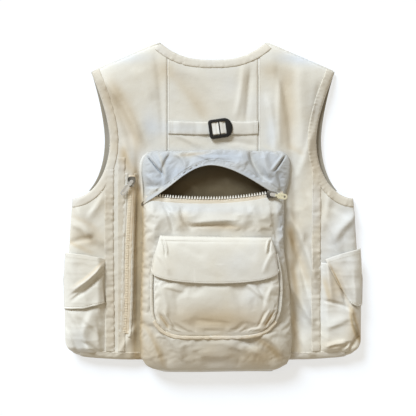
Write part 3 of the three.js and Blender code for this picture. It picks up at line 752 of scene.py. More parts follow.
def backPanelGrid():
    inner, outer = yokeX + garment["seamGap"], seamX - garment["seamGap"]
    corner = tuple(neckLine(3, inner)[-1])
    top = [corner] + [tuple(p) for p in neckLine(200) if p[0] > inner] + [(tipX, tipY)]
    side = [(outer, hemY + hemLift(seamX))] + [(outer, y) for y in np.linspace(hemY + 20, holeY - 8, 30)]
    side += [tuple(p) for p in armholeLine()[::-1] if p[1] > holeY]
    return patch(hemLine(inner, outer), top, [(inner, hemY), corner], side, backPanels["rows"],
                 backPanels["columns"])


def makeBackPanels():
    flat = backPanelGrid()
    for name, half in (("right", flat), ("left", flat[:, ::-1] * np.array([-1, 1]))):
        clothFromGrid(f"{name}_back_cloth", sunkEdges(onBody(half)), cloth, "twill", "vest",
                      (f"back_panel_{name}",))
    print("back panels ready")


makeCentrePanel()
makeBackPanels()


# A side panel runs over the fold at the edge and under to the front seam
def wrapUnder(grid, sign, reach, level, drop=16, count=9, flat=7):
    edge = grid[:, -1] if sign > 0 else grid[:, 0]
    columns = []
    floorLevel = level(edge[:, 0], edge[:, 1])
    for turn in np.linspace(0, math.pi / 2, count)[1:]:
        x = edge[:, 0] - sign * drop * (1 - math.cos(turn))
        z = edge[:, 2] - (edge[:, 2] - floorLevel) * math.sin(turn)
        columns.append(np.stack([x, edge[:, 1], z], axis=1))
    start = columns[-1][:, 0]
    for share in np.linspace(0, 1, flat)[1:]:
        x = start + (sign * reach - start) * share
        columns.append(np.stack([x, edge[:, 1], level(x, edge[:, 1])], axis=1))
    more = np.stack(columns, axis=1)
    if sign > 0:
        return np.concatenate([grid, more], axis=1)
    return np.concatenate([more[:, ::-1], grid], axis=1)


def makeSidePanels():
    inner = seamX + garment["seamGap"]
    hole = [tuple(p) for p in armholeLine() if p[1] < holeY - 6]
    flat = patch(hemLine(inner, sideEdge(hemY)), [(inner, holeY - 8)] + hole,
                 [(inner, hemY + hemLift(seamX)), (inner, holeY - 8)], sideLine(), 120, 44)
    right = wrapUnder(sunkEdges(onBody(flat), both=False), 1, garment["frontSeamX"], frontHeight)
    left = wrapUnder(onBody(flat[:, ::-1] * np.array([-1, 1])), -1, garment["frontSeamX"], frontHeight)
    for name, grid in (("right", right), ("left", left)):
        clothFromGrid(f"{name}_side_cloth", grid, cloth, "twill", "vest", (f"side_panel_{name}",))


makeSidePanels()


# The two fronts underneath, cut lower at the neck and further out at the armhole
front = {"neckline": [(26, 132), (58, 172), (84, 236)], "centreTop": 120, "overlap": 0.4, "underarm": 30}


def frontGrid():
    inner, outer = garment["frontZipHalf"], garment["frontSeamX"] + front["overlap"]
    neck = [(inner, front["centreTop"])] + front["neckline"] + [(neckHalf, neckTop)]
    top = [tuple(p) for p in resample(neck, 40)] + [(tipX, tipY)]
    hole = [tuple(p) for p in armholeLine(garment["frontGrowth"])[::-1] if p[1] > front["underarm"]]
    side = [(outer, hemY + hemLift(garment["frontSeamX"])), (outer, front["underarm"])] + hole
    return patch(hemLine(inner, outer), top, [(inner, hemY), (inner, front["centreTop"])], side, 120, 60)


def onFront(grid):
    x, y = grid[..., 0], grid[..., 1]
    hole = distanceTo(armholeLine(garment["frontGrowth"]), np.abs(x), y)
    shoulder = distanceTo(shoulderLine, np.abs(x), y)
    near = np.minimum(hole, shoulder)
    return np.dstack([grid, frontHeight(x, y) + cloth + 5.5 * smooth((34 - near) / 34)])


def makeFronts():
    right = onFront(frontGrid())
    for name, grid in (("right", right), ("left", mirrorGrid(right))):
        # The fronts' upper faces take the reverse cloth, darkened partly as painted shade under the
        # armhole's edge
        clothFromGrid(f"{name}_front_cloth", grid, cloth, "reverse", "vest", (f"front_panel_{name}",),
                      "twill")
    print("sides and fronts ready")


makeFronts()


# Bands that follow an edge: a doubled strip, rounded, puckered where it is sewn down
def bandGrid(line, inward, width, surface, lift=1.6, pucker=0.35, pitch=9, seed=11, rounding=6, across=13,
             tuck=3.5):
    line = np.asarray(line, float)
    tangent = np.gradient(line, axis=0)
    tangent /= np.linalg.norm(tangent, axis=1, keepdims=True)
    normal = np.stack([-tangent[:, 1], tangent[:, 0]], axis=1) * inward
    t = np.linspace(0, 1, across)
    points = line[None] + normal[None] * (t * width)[:, None, None]
    z = surface(points[..., 0], points[..., 1])
    profile = 1 - np.abs(2 * t - 1) ** rounding
    travel = np.concatenate([[0], np.cumsum(np.linalg.norm(np.diff(line, axis=0), axis=1))])
    wave = ripple(travel, travel * 0, pitch, seed, 5)
    sewn = np.exp(-((t - 0.85) / 0.22) ** 2) + 0.6 * np.exp(-((t - 0.1) / 0.2) ** 2)
    z = z + np.broadcast_to(lift, len(line))[None] * profile[:, None] + pucker * wave[None] * sewn[:, None]
    grid = np.dstack([points, z])
    if tuck:
        under = grid[0].copy()
        under[:, 2] -= tuck
        bulge = grid[0] - np.concatenate([normal, np.zeros((len(line), 1))], axis=1) * 0.9
        bulge[:, 2] -= tuck * 0.5
        grid = np.concatenate([under[None], bulge[None], grid])
    return grid


def bandPiece(name, line, inward, width, surface, finish, replaced=(), body="vest", thickness=1.0, **more):
    grid = bandGrid(line, inward, width, surface, **more)
    if gridNormals(grid)[..., 2].mean() < 0:
        grid = grid[:, ::-1]
    return clothFromGrid(name, grid, thickness, finish, body, replaced)


stitchRuns = {"vest": [], "outer_flap": [], "side_flap_right": [], "side_flap_left": []}


# A sewn line: it lies on the surface of the piece that carries it
def sew(line, surface, body="vest", lift=0.35, count=None):
    line = np.asarray(line, float)
    length = np.linalg.norm(np.diff(line, axis=0), axis=1).sum()
    fine = resample(line, count or max(4, int(length / 4)))
    stitchRuns[body].append(np.column_stack([fine, surface(fine[:, 0], fine[:, 1]) + lift]))


# The line shifted sideways by a distance
def offsetLine(line, distance):
    line = np.asarray(line, float)
    tangent = np.gradient(line, axis=0)
    tangent /= np.linalg.norm(tangent, axis=1, keepdims=True)
    return line + np.stack([-tangent[:, 1], tangent[:, 0]], axis=1) * distance


bands = {"neckWidth": 17, "holeWidth": 17, "stitchIn": 2, "stitchLift": 1.2}


def makeBindings():
    inset = bands["neckWidth"] - bands["stitchIn"]
    neck = resample(neckLine(200), 150)
    bandPiece("neck_band", neck, -1, bands["neckWidth"], bodyHeight, "trim", ("neck_binding",),
              pucker=0.5, seed=21)
    sew(offsetLine(neck, -inset), bodyHeight, lift=bands["stitchLift"])
    hole = resample(armholeLine(), 220)
    inset = bands["holeWidth"] - bands["stitchIn"]
    for side, name in ((1, "right"), (-1, "left")):
        run = hole * np.array([side, 1])
        bandPiece(f"armhole_band_{name}", run, -side, bands["holeWidth"], bodyHeight, "trim",
                  (f"armhole_binding_{name}",), pucker=0.45, seed=23 + side)
        sew(offsetLine(run, -side * inset), bodyHeight, lift=bands["stitchLift"])
    print("bindings ready")


makeBindings()
join = {"bulge": 4.6, "inset": 2.6, "thickness": 0.9, "clearance": 0.8}


# Shoulder seams join back and front along the top edge
def makeShoulderJoin(side, name):
    run = resample(shoulderLine, 60) * np.array([side, 1])
    turn = np.linspace(0, math.pi, 9)
    outward = (offsetLine(run, 1) - run) * side
    high = bodyHeight(run[:, 0], run[:, 1])
    low = onFront(run[None])[0, :, 2] - cloth
    points = run[None] + outward[None] * (np.sin(turn) * join["bulge"] - join["inset"])[:, None, None]
    z = (high + low)[None] / 2 + (high - low - join["clearance"])[None] / 2 * np.cos(turn)[:, None]
    grid = np.dstack([points, z])[::-1]
    grid = grid if side > 0 else grid[:, ::-1]
    clothFromGrid(f"shoulder_join_{name}", grid, join["thickness"], "twill", "vest",
                  (f"shoulder_seam_{name}",))


for side, name in ((1, "right"), (-1, "left")):
    makeShoulderJoin(side, name)

stripLow, stripHigh = boxMm("side_seam_strip_right")
seamStrip = {
    "width": stripHigh[0] - stripLow[0], "stitchIn": 2.2, "lift": 1.5, "sway": 0.9, "swayLength": 70,
}


# Strips sewn down over the side seams, puckered between their stitch lines
def makeSeamStrip(side, name):
    y = np.linspace(stripLow[1], stripHigh[1] - 3, 150)
    sway = seamStrip["sway"] * np.sin(y / seamStrip["swayLength"] + side)
    run = np.stack([side * seamX - seamStrip["width"] / 2 + sway, y], axis=1)
    bandPiece(f"side_strip_{name}", run, -1, seamStrip["width"], bodyHeight, "trim",
              (f"side_seam_strip_{name}",), pucker=0.75, pitch=10, seed=31 + side, lift=seamStrip["lift"],
              tuck=0)
    for inset in (seamStrip["stitchIn"], seamStrip["width"] - seamStrip["stitchIn"]):
        sew(offsetLine(run, -inset), bodyHeight, lift=seamStrip["lift"])


for side, name in ((1, "right"), (-1, "left")):
    makeSeamStrip(side, name)

facing = {"width": 15, "gap": 15.5, "top": 96, "stitchIn": 2, "stitchLift": 1.3}


# The zipped pocket's facing is sewn down between the seam strip and the zip
def makeZipFacing():
    y = np.linspace(stripLow[1], facing["top"], 140)
    run = np.stack([np.full(140, -seamX + facing["gap"]), y], axis=1)
    bandPiece("zip_facing_strip", run, -1, facing["width"], bodyHeight, "trim", pucker=0.8, pitch=10,
              seed=41, lift=1.2, tuck=0)
    for inset in (facing["stitchIn"], facing["width"] - facing["stitchIn"]):
        sew(offsetLine(run, -inset), bodyHeight, lift=facing["stitchLift"])


makeZipFacing()
hemLow, hemHigh = boxMm("hem_band_right")
hem = {"width": hemHigh[1] - hemLow[1], "innerX": 120, "stitchIn": 2, "stitchLift": 1.4}


# Hem bands, turned up along the lower edge
def makeHemBand(side, name):
    run = hemLine(-sideEdge(hemY) + 3, sideEdge(hemY) - 3, 240)
    run = run[run[:, 0] * side > hem["innerX"]]
    bandPiece(f"hem_band_cloth_{name}", run, 1, hem["width"], bodyHeight, "trim", (f"hem_band_{name}",),
              pucker=0.7, pitch=10, seed=35 + side, tuck=3.5)
    sew(offsetLine(run, hem["width"] - hem["stitchIn"]), bodyHeight, lift=hem["stitchLift"])


for side, name in ((1, "right"), (-1, "left")):
    makeHemBand(side, name)


# The yoke seams are stitched on both sides, from hem to neck
def sewYokeSeams(beside=3, count=80):
    y = np.linspace(hemY + 16, neckLine(3, yokeX)[0][1] - 14, count)
    for x in (-yokeX, yokeX):
        for shift in (-beside, beside):
            sew(np.stack([np.full(count, x + shift), y], axis=1), bodyHeight)


sewYokeSeams()


# The strap that draws the back in, its two ends sewn at the yoke seams
strapLow, strapHigh = boxMm("adjuster_strap_left")
rightHigh = boxMm("adjuster_strap_right")[1]
buckleLow, buckleHigh = boxMm("strap_buckle")
strap = {"width": strapHigh[1] - strapLow[1], "rise": 2.4, "thickness": 1.4, "sag": -4, "stitchLift": 3.0}


def strapGrid(x0, x1, hump, count=70):
    x = np.linspace(x0, x1, count)
    share = (x - x0) / (x1 - x0)
    middle = (strapLow[1] + strapHigh[1]) / 2 + strap["sag"] * np.sin(share * math.pi) * 0.5
    t = np.linspace(-0.5, 0.5, 15)
    points = np.dstack([np.repeat(x[None], 15, 0), middle[None] + t[:, None] * strap["width"]])
    z = bodyHeight(points[..., 0], points[..., 1]).max(axis=0)[None] + strap["rise"] + hump(x)[None]
    waves = 0.22 * ripple(points[..., 0], points[..., 1] * 0.6, 17, 44)
    z = z - 0.9 * (np.abs(2 * t) ** 5)[:, None] + waves
    return np.dstack([points, z])


def intoBuckle(x):
    return 2.0 * smooth((x - buckleLow[0] + 26) / 24) + 0.6 * np.sin(np.clip((x + 84) / 60, 0, 1) * math.pi)


def outOfBuckle(x):
    return 2.0 * smooth((buckleHigh[0] + 24 - x) / 26)


def makeStraps():
    spans = {
        "left": (strapLow[0] - 3, buckleHigh[0] - 9, intoBuckle),
        "right": (buckleHigh[0] - 8, rightHigh[0] + 3, outOfBuckle),
    }
    for name, (x0, x1, hump) in spans.items():
        clothFromGrid(f"waist_strap_{name}", strapGrid(x0, x1, hump), strap["thickness"], "twill", "vest",
                      (f"adjuster_strap_{name}",))
    y = np.linspace(strapLow[1] + 1, strapHigh[1] - 1, 12)
    for x in (strapLow[0] + 1, strapLow[0] + 6, rightHigh[0] - 6, rightHigh[0] - 1):
        sew(np.stack([np.full(12, x), y], axis=1), bodyHeight, lift=strap["stitchLift"])


makeStraps()


# Hard fittings keep the frame's shape; their edges are rounded over
def polished(name, node, body, finish, bevel=0.35, shift=0.0):
    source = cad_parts[node]
    mesh = source.data.copy()
    piece = bpy.data.objects.new(name, mesh)
    bpy.context.scene.collection.objects.link(piece)
    work = bmesh.new()
    work.from_mesh(mesh)
    bmesh.ops.remove_doubles(work, verts=work.verts, dist=0.00001)
    bmesh.ops.recalc_face_normals(work, faces=work.faces)
    work.to_mesh(mesh)
    work.free()
    mesh.transform(Matrix.Translation((0, 0, shift * mm)))
    mesh.materials.clear()
    mesh.materials.append(materials[finish])
    rounding = piece.modifiers.new("rounding", "BEVEL")
    rounding.width = bevel * mm
    rounding.segments = 3
    rounding.limit_method = "ANGLE"
    rounding.angle_limit = math.radians(35)
    rounding.harden_normals = True
    mesh.polygons.foreach_set("use_smooth", [True] * len(mesh.polygons))
    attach(piece, body)
    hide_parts(node)
    return piece


polished("ladder_buckle", "strap_buckle", "buckle", "buckle", 1.1, 0.6)


webbing = {
    "halfLength": 14.5, "halfWidth": 12, "turn": 8, "left": 6.6, "up": 0.4, "level": 4.6, "rib": 0.25,
    "ribs": 5.2,
}


# The strap's own webbing shows through the buckle's two windows, in a lighter cloth that is a painted
# highlight
def makeWindowWebbing():
    middleX = (buckleLow[0] + buckleHigh[0]) / 2 - webbing["left"]
    middleY = (buckleLow[1] + buckleHigh[1]) / 2 + webbing["up"]
    turn = math.radians(webbing["turn"])
    u, v = np.linspace(-1, 1, 26), np.linspace(-1, 1, 12)
    alongX, acrossY = np.meshgrid(u * webbing["halfLength"], v * webbing["halfWidth"])
    x = middleX + alongX * math.cos(turn) - acrossY * math.sin(turn)
    y = middleY + alongX * math.sin(turn) + acrossY * math.cos(turn)
    ribs = webbing["rib"] * np.sin(alongX * webbing["ribs"])
    groove = 1.2 * np.exp(-(alongX / 1.8) ** 2)
    z = buckleLow[2] + webbing["level"] - 2.4 * (np.abs(u) ** 4)[None] + ribs - groove
    clothFromGrid("buckle_webbing", np.dstack([x, y, z]), 1.0, "webbing", "buckle")


makeWindowWebbing()
print("strap ready")


# The zipped opening beside the bag
zipLow, zipHigh = boxMm("side_zip_tape")
teethLow, teethHigh = boxMm("side_zip_teeth")
sideZip = {
    "tapeWidth": 13, "pitch": 3.2, "toothLength": 6.4, "toothWidth": 2.1, "toothHeight": 1.6,
    "toothLift": 1.5, "weltWidth": 7, "weltStitch": 5.4, "liningDepth": 4.5,
}
zipTop = np.array([zipHigh[0] - 7.0, teethHigh[1] + 3])
zipEnd = np.array([zipLow[0] + 7.0, teethLow[1] - 2])


def zipLine(count=120, y0=None, y1=None):
    y = np.linspace(zipEnd[1] if y0 is None else y0, zipTop[1] if y1 is None else y1, count)
    share = (y - zipEnd[1]) / (zipTop[1] - zipEnd[1])
    x = zipEnd[0] + (zipTop[0] - zipEnd[0]) * share + 1.6 * np.sin(share * 2.6 * math.pi) * (1 - share)
    return np.stack([x, y], axis=1)


def zipSurface(x, y):
    return bodyHeight(x, y) + 0.4


def makeZipOpening():
    half = sideZip["tapeWidth"] / 2
    bandPiece("side_tape", offsetLine(zipLine(), half), -1, sideZip["tapeWidth"], zipSurface, "tape",
              ("side_zip_tape",), lift=0.9, pucker=0.2, seed=51, tuck=0, thickness=0.8)
    opening = zipLine(120, zipEnd[1] - 6, zipTop[1] + 4)
    for shift, side, name in ((half + 1, 1, "outer"), (-half + 2.2, -1, "inner")):
        lip = offsetLine(opening, shift)
        bandPiece(f"zip_welt_{name}", lip, side, sideZip["weltWidth"], bodyHeight, "twill", lift=1.3,
                  pucker=0.5, seed=53, tuck=0, rounding=3)
        sew(offsetLine(lip, side * sideZip["weltStitch"]), bodyHeight, lift=1.3)


def makePocketLining():
    low, high = boxMm("zip_pocket_bag")
    x, y = np.meshgrid(np.linspace(low[0] + 3, high[0] - 3, 24), np.linspace(low[1] + 4, high[1] - 4, 70))
    grid = np.dstack([x, y, bodyHeight(x, y) - sideZip["liningDepth"]])
    clothFromGrid("zip_pocket_lining", grid, 1.2, "lining", "vest", ("zip_pocket_bag",))


makeZipOpening()
makePocketLining()


# Geometry Nodes: small repeated shapes set along lines
def rowTree(name, shape):
    tree = bpy.data.node_groups.new(name, "GeometryNodeTree")
    tree.interface.new_socket("Geometry", in_out="INPUT", socket_type="NodeSocketGeometry")
    for label, value in (("Pitch", 0.0034), ("Length", 0.0026), ("Width", 0.0007), ("Height", 0.0007)):
        socket = tree.interface.new_socket(label, in_out="INPUT", socket_type="NodeSocketFloat")
        socket.default_value = value
    tree.interface.new_socket("Material", in_out="INPUT", socket_type="NodeSocketMaterial")
    tree.interface.new_socket("Geometry", in_out="OUTPUT", socket_type="NodeSocketGeometry")
    nodes, links = tree.nodes, tree.links
    start, end = nodes.new("NodeGroupInput"), nodes.new("NodeGroupOutput")
    curve = nodes.new("GeometryNodeMeshToCurve")
    spaced = nodes.new("GeometryNodeResampleCurve")
    spaced.mode = "LENGTH"
    place = nodes.new("GeometryNodeInstanceOnPoints")
    align = nodes.new("FunctionNodeAlignEulerToVector")
    align.axis = "X"
    align.pivot_axis = "AUTO"
    tangent = nodes.new("GeometryNodeInputTangent")
    size = nodes.new("ShaderNodeCombineXYZ")
    if shape == "thread":
        unit = nodes.new("GeometryNodeMeshUVSphere")
        unit.inputs["Segments"].default_value = 6
        unit.inputs["Rings"].default_value = 3
        unit.inputs["Radius"].default_value = 0.5
    else:
        cone = nodes.new("GeometryNodeMeshCone")
        cone.inputs["Vertices"].default_value = 6
        cone.inputs["Radius Top"].default_value = 0.14
        cone.inputs["Radius Bottom"].default_value = 0.5
        cone.inputs["Depth"].default_value = 1
        unit = nodes.new("GeometryNodeTransform")
        links.new(cone.outputs["Mesh"], unit.inputs["Geometry"])
        unit.inputs["Rotation"].default_value = (-math.pi / 2, 0, 0)
    links.new(start.outputs["Geometry"], curve.inputs[0])
    links.new(curve.outputs[0], spaced.inputs["Curve"])
    links.new(start.outputs["Pitch"], spaced.inputs["Length"])
    links.new(spaced.outputs[0], place.inputs["Points"])
    links.new(unit.outputs[0], place.inputs["Instance"])
    links.new(tangent.outputs[0], align.inputs["Vector"])
    links.new(align.outputs[0], place.inputs["Rotation"])
    for label, axis in (("Length", "X"), ("Width", "Y"), ("Height", "Z")):
        links.new(start.outputs[label], size.inputs[axis])
    links.new(size.outputs[0], place.inputs["Scale"])
    real = nodes.new("GeometryNodeRealizeInstances")
    paint = nodes.new("GeometryNodeSetMaterial")
    links.new(place.outputs[0], real.inputs[0])
    links.new(real.outputs[0], paint.inputs[0])
    links.new(start.outputs["Material"], paint.inputs["Material"])
    links.new(paint.outputs[0], end.inputs[0])
    return tree


threadTree = rowTree("threadRow", "thread")
toothTree = rowTree("toothRow", "tooth")


def rowPiece(name, runs, tree, finish, body, settings, replaced=(), facets=False):
    vertices, edges = [], []
    for run in runs:
        first = len(vertices)
        vertices += [tuple(p * mm) for p in run]
        edges += [(first + i, first + i + 1) for i in range(len(run) - 1)]
    mesh = bpy.data.meshes.new(name + "_path")
    mesh.from_pydata(vertices, edges, [])
    path = bpy.data.objects.new(name + "_path", mesh)
    bpy.context.scene.collection.objects.link(path)
    modifier = path.modifiers.new("row", "NODES")
    modifier.node_group = tree
    for item in tree.interface.items_tree:
        if item.in_out == "INPUT" and item.name in settings:
            modifier[item.identifier] = settings[item.name] * mm
        if item.in_out == "INPUT" and item.name == "Material":
            modifier[item.identifier] = materials[finish]
    bpy.context.view_layer.update()
    made = bpy.data.meshes.new_from_object(path.evaluated_get(bpy.context.evaluated_depsgraph_get()))
    bpy.data.objects.remove(path)
    made.name = name
    if not made.materials:
        made.materials.append(materials[finish])
    made.polygons.foreach_set("use_smooth", [not facets] * len(made.polygons))
    piece = bpy.data.objects.new(name, made)
    bpy.context.scene.collection.objects.link(piece)
    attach(piece, body)
    if replaced:
        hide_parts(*replaced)
    return piece


def makeSideChain():
    run = zipLine(240, zipEnd[1] + 2, teethHigh[1])
    row = np.column_stack([run, zipSurface(run[:, 0], run[:, 1]) + sideZip["toothLift"]])
    size = {"Pitch": sideZip["pitch"], "Length": sideZip["toothWidth"], "Width": sideZip["toothLength"],
            "Height": sideZip["toothHeight"]}
    rowPiece("side_chain", [row], toothTree, "chain", "vest", size, ("side_zip_teeth",), facets=True)


# A slider's body, the eye on it and the tab that hangs from the eye; the body's near-black metal is painted
# shade for the dark gaps in the slider
def makeSlider(place, tabFinish, bodyBevel=0.7):
    polished(f"{place}_slider_body", f"{place}_zip_slider", f"{place}_slider", "shadedSliderMetal", bodyBevel)
    polished(f"{place}_slider_eye", f"{place}_zip_eye", f"{place}_eye", "metal", 0.35)
    polished(f"{place}_pull_tab", f"{place}_zip_pull", f"{place}_pull", tabFinish, 0.4)


makeSideChain()
makeSlider("side", "metal")
print("side zip ready")


# The big bag on the back: its front, its crown above the mouth and the lining inside
bagLow, bagHigh = boxMm("bag_front")
crownHigh = boxMm("bag_crown")[1]
bag = {
    "fullness": 3.3, "lipDepth": 22.4, "depthFrom": -20, "roundFrom": -222, "roundPower": 2.0, "lipY": 5,
    "lipRise": 9.5, "rows": 150, "columns": 110, "thickness": 1.6,
    "left": [(14, -134), (-45, -135), (-150, -140), (-255, -143), (-290, -139), (-306, -129),
             (-314, -113), (-318, -96)],
    "right": [(14, 138), (-70, 136), (-110, 141), (-160, 148), (-255, 152), (-288, 150), (-303, 143),
              (-312, 128), (-318, 112)],
    "lip": [(-137, 3), (-124, 11), (-108, 22), (-84, 38), (-60, 59), (-30, 77), (-4, 83), (29, 75),
            (58, 62), (80, 49), (100, 36), (122, 24), (136, 12)],
    "lipHeight": 27, "topHeight": 11, "lipBand": 12,
}
pouch = {
    "left": [(-60, -97), (-90, -105), (-120, -111), (-150, -113), (-200, -112), (-220, -107), (-234, -95),
             (-242, -78), (-245, -60)],
    "right": [(-60, 107), (-90, 116), (-120, 123), (-150, 126), (-196, 123), (-214, 117), (-228, 106),
              (-239, 90), (-244, 66)],
    "binding": 7.5, "edge": 6, "seamOut": 1.5, "seamTop": -85, "bindingTop": -214,
    "rows": 104, "columns": 120, "power": 3.6, "foot": -245, "roundFrom": -158, "roundTo": -245.5,
}
bagBase = bagLow[2]
bagDeep = bagHigh[2] - bagBase
bagBottom = bagLow[1]
bagFolds = [
    (-96, 4, -76, -46, 7, -3.4, 3), (-84, 2, -62, -40, 8, 3.0, 2), (-60, -4, -44, -40, 7, -4.2, -4),
    (-36, -38, 40, -39, 5, -3.4, 2), (-30, -28, 44, -26, 7, 2.2, 0), (70, 0, 92, -44, 9, 2.4, 0),
    (112, -6, 122, -60, 8, -2.4, 0), (-118, 2, -112, -60, 8, 3, 2), (-124, -60, -126, -200, 7, 2.2, 3),
    (134, -40, 136, -110, 6, 2.4, 0), (138, -110, 141, -220, 7, -2.2, 2),
    (58, -252, 116, -302, 14, -4.6, 7), (96, -246, 134, -282, 11, 3.4, 4),
    (18, -258, 92, -276, 14, 2.0, -4), (-132, -222, -84, -300, 15, -4.0, 6),
    (-118, -214, -58, -286, 13, 3.2, 5), (-50, -262, 6, -288, 18, 1.4, 0),
    (-134, -262, -100, -308, 9, 2.4, 0), (-20, -298, 60, -302, 11, -1.2, 0),
    (124, -230, 146, -262, 9, 2.2, 0),
]


def along(stations, value):
    places = sorted(stations)
    return np.interp(value, [p[0] for p in places], [p[1] for p in places])


def bagEdges(y):
    return along(bag["left"], y), along(bag["right"], y)


def bagDepthAt(y):
    lipEnd = bag["lipY"] + 8
    opened = smooth((lipEnd - y) / (lipEnd - bag["depthFrom"]))
    opening = bag["lipDepth"] + (bagDeep - bag["lipDepth"]) * opened
    down = np.clip((bag["roundFrom"] - y) / (bag["roundFrom"] - bagBottom + 2), 0, 1)
    return opening * (1 - down ** bag["roundPower"]) ** (1 / bag["roundPower"])


def bagRelief(x, y):
    ripples = 0.9 * ripple(x, y, 64, seedValue + 5) + 0.15 * ripple(x, y, 22, seedValue + 6)
    creases = 0.3 * crumple(x, y, 50, seedValue + 7) * smooth((y + 60) / 30)
    return 1.3 * foldHeight(x, y, bagFolds) + ripples + creases


def bagHeight(x, y):
    left, right = bagEdges(y)
    t = np.clip(np.abs(x - (left + right) / 2) / ((right - left) / 2), 0, 1)
    crown = (1 - t ** bag["fullness"]) ** (1 / bag["fullness"])
    return bagBase + (bagDepthAt(y) + bagRelief(x, y) * smooth(crown * 1.6 - 0.3)) * crown


def lipRise(x):
    return np.where(np.asarray(x) < -4, 0.55, 1.05) * bag["lipRise"] * ((x + 4) / 105) ** 2


def bagFrontGrid():
    down = np.linspace(0, 1, bag["rows"]) ** 0.8
    rowY = bagBottom + 0.4 + (bag["lipY"] - bagBottom - 0.4) * down
    turn = np.linspace(-math.pi / 2, math.pi / 2, bag["columns"])
    across = np.sign(turn) * np.abs(np.sin(turn)) ** (2 / bag["fullness"])
    left, right = bagEdges(rowY)
    x = (left + right)[:, None] / 2 + (right - left)[:, None] / 2 * across[None]
    y = np.repeat(rowY[:, None], bag["columns"], 1)
    z = bagHeight(x, y)
    y = y + lipRise(x) * smooth((y + 40) / 45) + 5 * np.sin(across * math.pi * 0.9)[None] * 0.15
    grid = np.dstack([x, y, z])
    under = grid[:1].repeat(4, 0)
    for i, (inY, outZ) in enumerate(((26, 0.8), (14, 0.7), (5, 1.4), (1.5, 3.5))):
        under[i, :, 1] += inY
        under[i, :, 2] = bagBase + outZ + (grid[0, :, 2] - bagBase) * (0.35 if i == 3 else 0)
    lip = grid[-1:].repeat(3, 0)
    for i, (outY, dropZ) in enumerate(((1.3, 0.6), (1.9, 1.8), (1.7, 3.6))):
        lip[i, :, 1] += outY
        lip[i, :, 2] = np.maximum(lip[i, :, 2] - dropZ, bagBase)
    whole = np.concatenate([under, grid, lip])
    held = np.maximum(border(*whole.shape[:2], 6, 6, 2, 5), 0.35 * smooth((-240 - whole[..., 1]) / 14))
    pocketLeft, pocketRight = along(pouch["left"], whole[..., 1]), along(pouch["right"], whole[..., 1])
    behind = np.minimum(np.minimum(whole[..., 0] - pocketLeft, pocketRight - whole[..., 0]),
                        np.minimum(whole[..., 1] + 250, -50 - whole[..., 1]))
    return relax(whole, np.maximum(held, smooth((behind + 8) / 8)), 0.02, 0.8, 3.0, bend=14)


# The bag's front takes the darker copy of the twill, painted shade on its lit face
clothFromGrid("bag_front_cloth", bagFrontGrid(), bag["thickness"], "bag", "vest", ("bag_front",), "lining")
crownFolds = [
    (-127, 97, -101, 65, 1.9, -4.6, 0), (-122, 97, -96, 67, 3.4, 2.2, 0),
    (138, 97, 119, 70, 1.8, -4.2, 0), (133, 98, 113, 72, 3.4, 2.2, 0), (-104, 92, -92, 50, 7, 3.6, 4),
    (-84, 98, -98, 60, 6, -3.2, -3), (-70, 100, -52, 74, 7, 3.6, 4), (70, 103, 100, 52, 8, -6.4, -4),
    (98, 100, 108, 58, 8, 3.8, -2), (52, 100, 62, 82, 8, 2.2, 0), (-30, 101, 30, 101, 5, -2.0, -3),
    (-126, 60, -108, 30, 7, 3.0, 3), (-128, 40, -96, 38, 6, -2.6, 0), (124, 66, 132, 30, 7, -2.6, 0),
    (-40, 104, -10, 92, 7, 2.4, 0),
]


# Rounds the corners of a chosen line
def softened(line, passes=60):
    line = np.array(line, float)
    for _ in range(passes):
        line[1:-1] = (line[:-2] + 2 * line[1:-1] + line[2:]) / 4
    return line


lipRun = softened(resample(bag["lip"], 160), 120)


def crownGrid(rows=90, columns=170):
    top = [(-118, crownHigh[1]), (-40, crownHigh[1] + 1), (60, crownHigh[1] + 1), (132, crownHigh[1])]
    left = [(lipRun[0][0], lipRun[0][1]), (-132.5, 30), (-138, 66), (-137, 88), (-130, 101),
            (-118, crownHigh[1])]
    right = [(lipRun[-1][0], lipRun[-1][1]), (148, 50), (151, 84), (146, 101), (132, crownHigh[1])]
    grid = patch(lipRun, softened(resample(top, 60), 10), softened(resample(left, 60), 30),
                 softened(resample(right, 60), 30), rows, columns, lambda t: t)
    v = np.linspace(0, 1, rows)[:, None]
    t = np.abs(np.linspace(-1, 1, columns))[None]
    side = (1 - t ** 4.2) ** 0.42
    rise = (bag["topHeight"] + (bag["lipHeight"] - bag["topHeight"]) * (1 - v) ** 1.2) * (1 - v ** 7) ** 0.5
    x, y = grid[..., 0], grid[..., 1]
    relief = 1.35 * foldHeight(x, y, crownFolds) + 1.1 * ripple(x, y, 52, seedValue + 8)
    relief = relief + 0.3 * crumple(x, y, 34, seedValue + 9)
    fromLip = np.linalg.norm(grid - grid[:1], axis=2)
    turned = smooth((fromLip - bag["lipBand"] + 4) / 7)
    edge = 1.4 * np.exp(-(fromLip / 8) ** 2) - 0.9 * np.exp(-((fromLip - bag["lipBand"]) / 1.8) ** 2)
    folds = (relief * turned + edge) * np.minimum(side * 1.4, 1) * smooth((1 - v) / 0.1)
    z = bagBase + 0.6 + side * rise + folds
    body = np.dstack([x, y, z])
    under = body[:1].repeat(3, 0)
    for i, (back, drop) in enumerate(((5.0, 4.6), (0.6, 3.6), (-0.6, 1.6))):
        under[i, :, 1] += back
        under[i, :, 2] = np.maximum(under[i, :, 2] - drop, bagBase + 0.4)
    whole = np.concatenate([under, body])
    return relax(whole, border(*whole.shape[:2], 7, 2, 2), 0.022, 0.8, 3.0, bend=14)


crownPoints = crownGrid()
# The crown takes the cooler, darker copy of the twill, painted light and shade
clothFromGrid("bag_crown_cloth", crownPoints, bag["thickness"], "crown", "vest", ("bag_crown",), "lining")
crownRow = crownPoints[3]


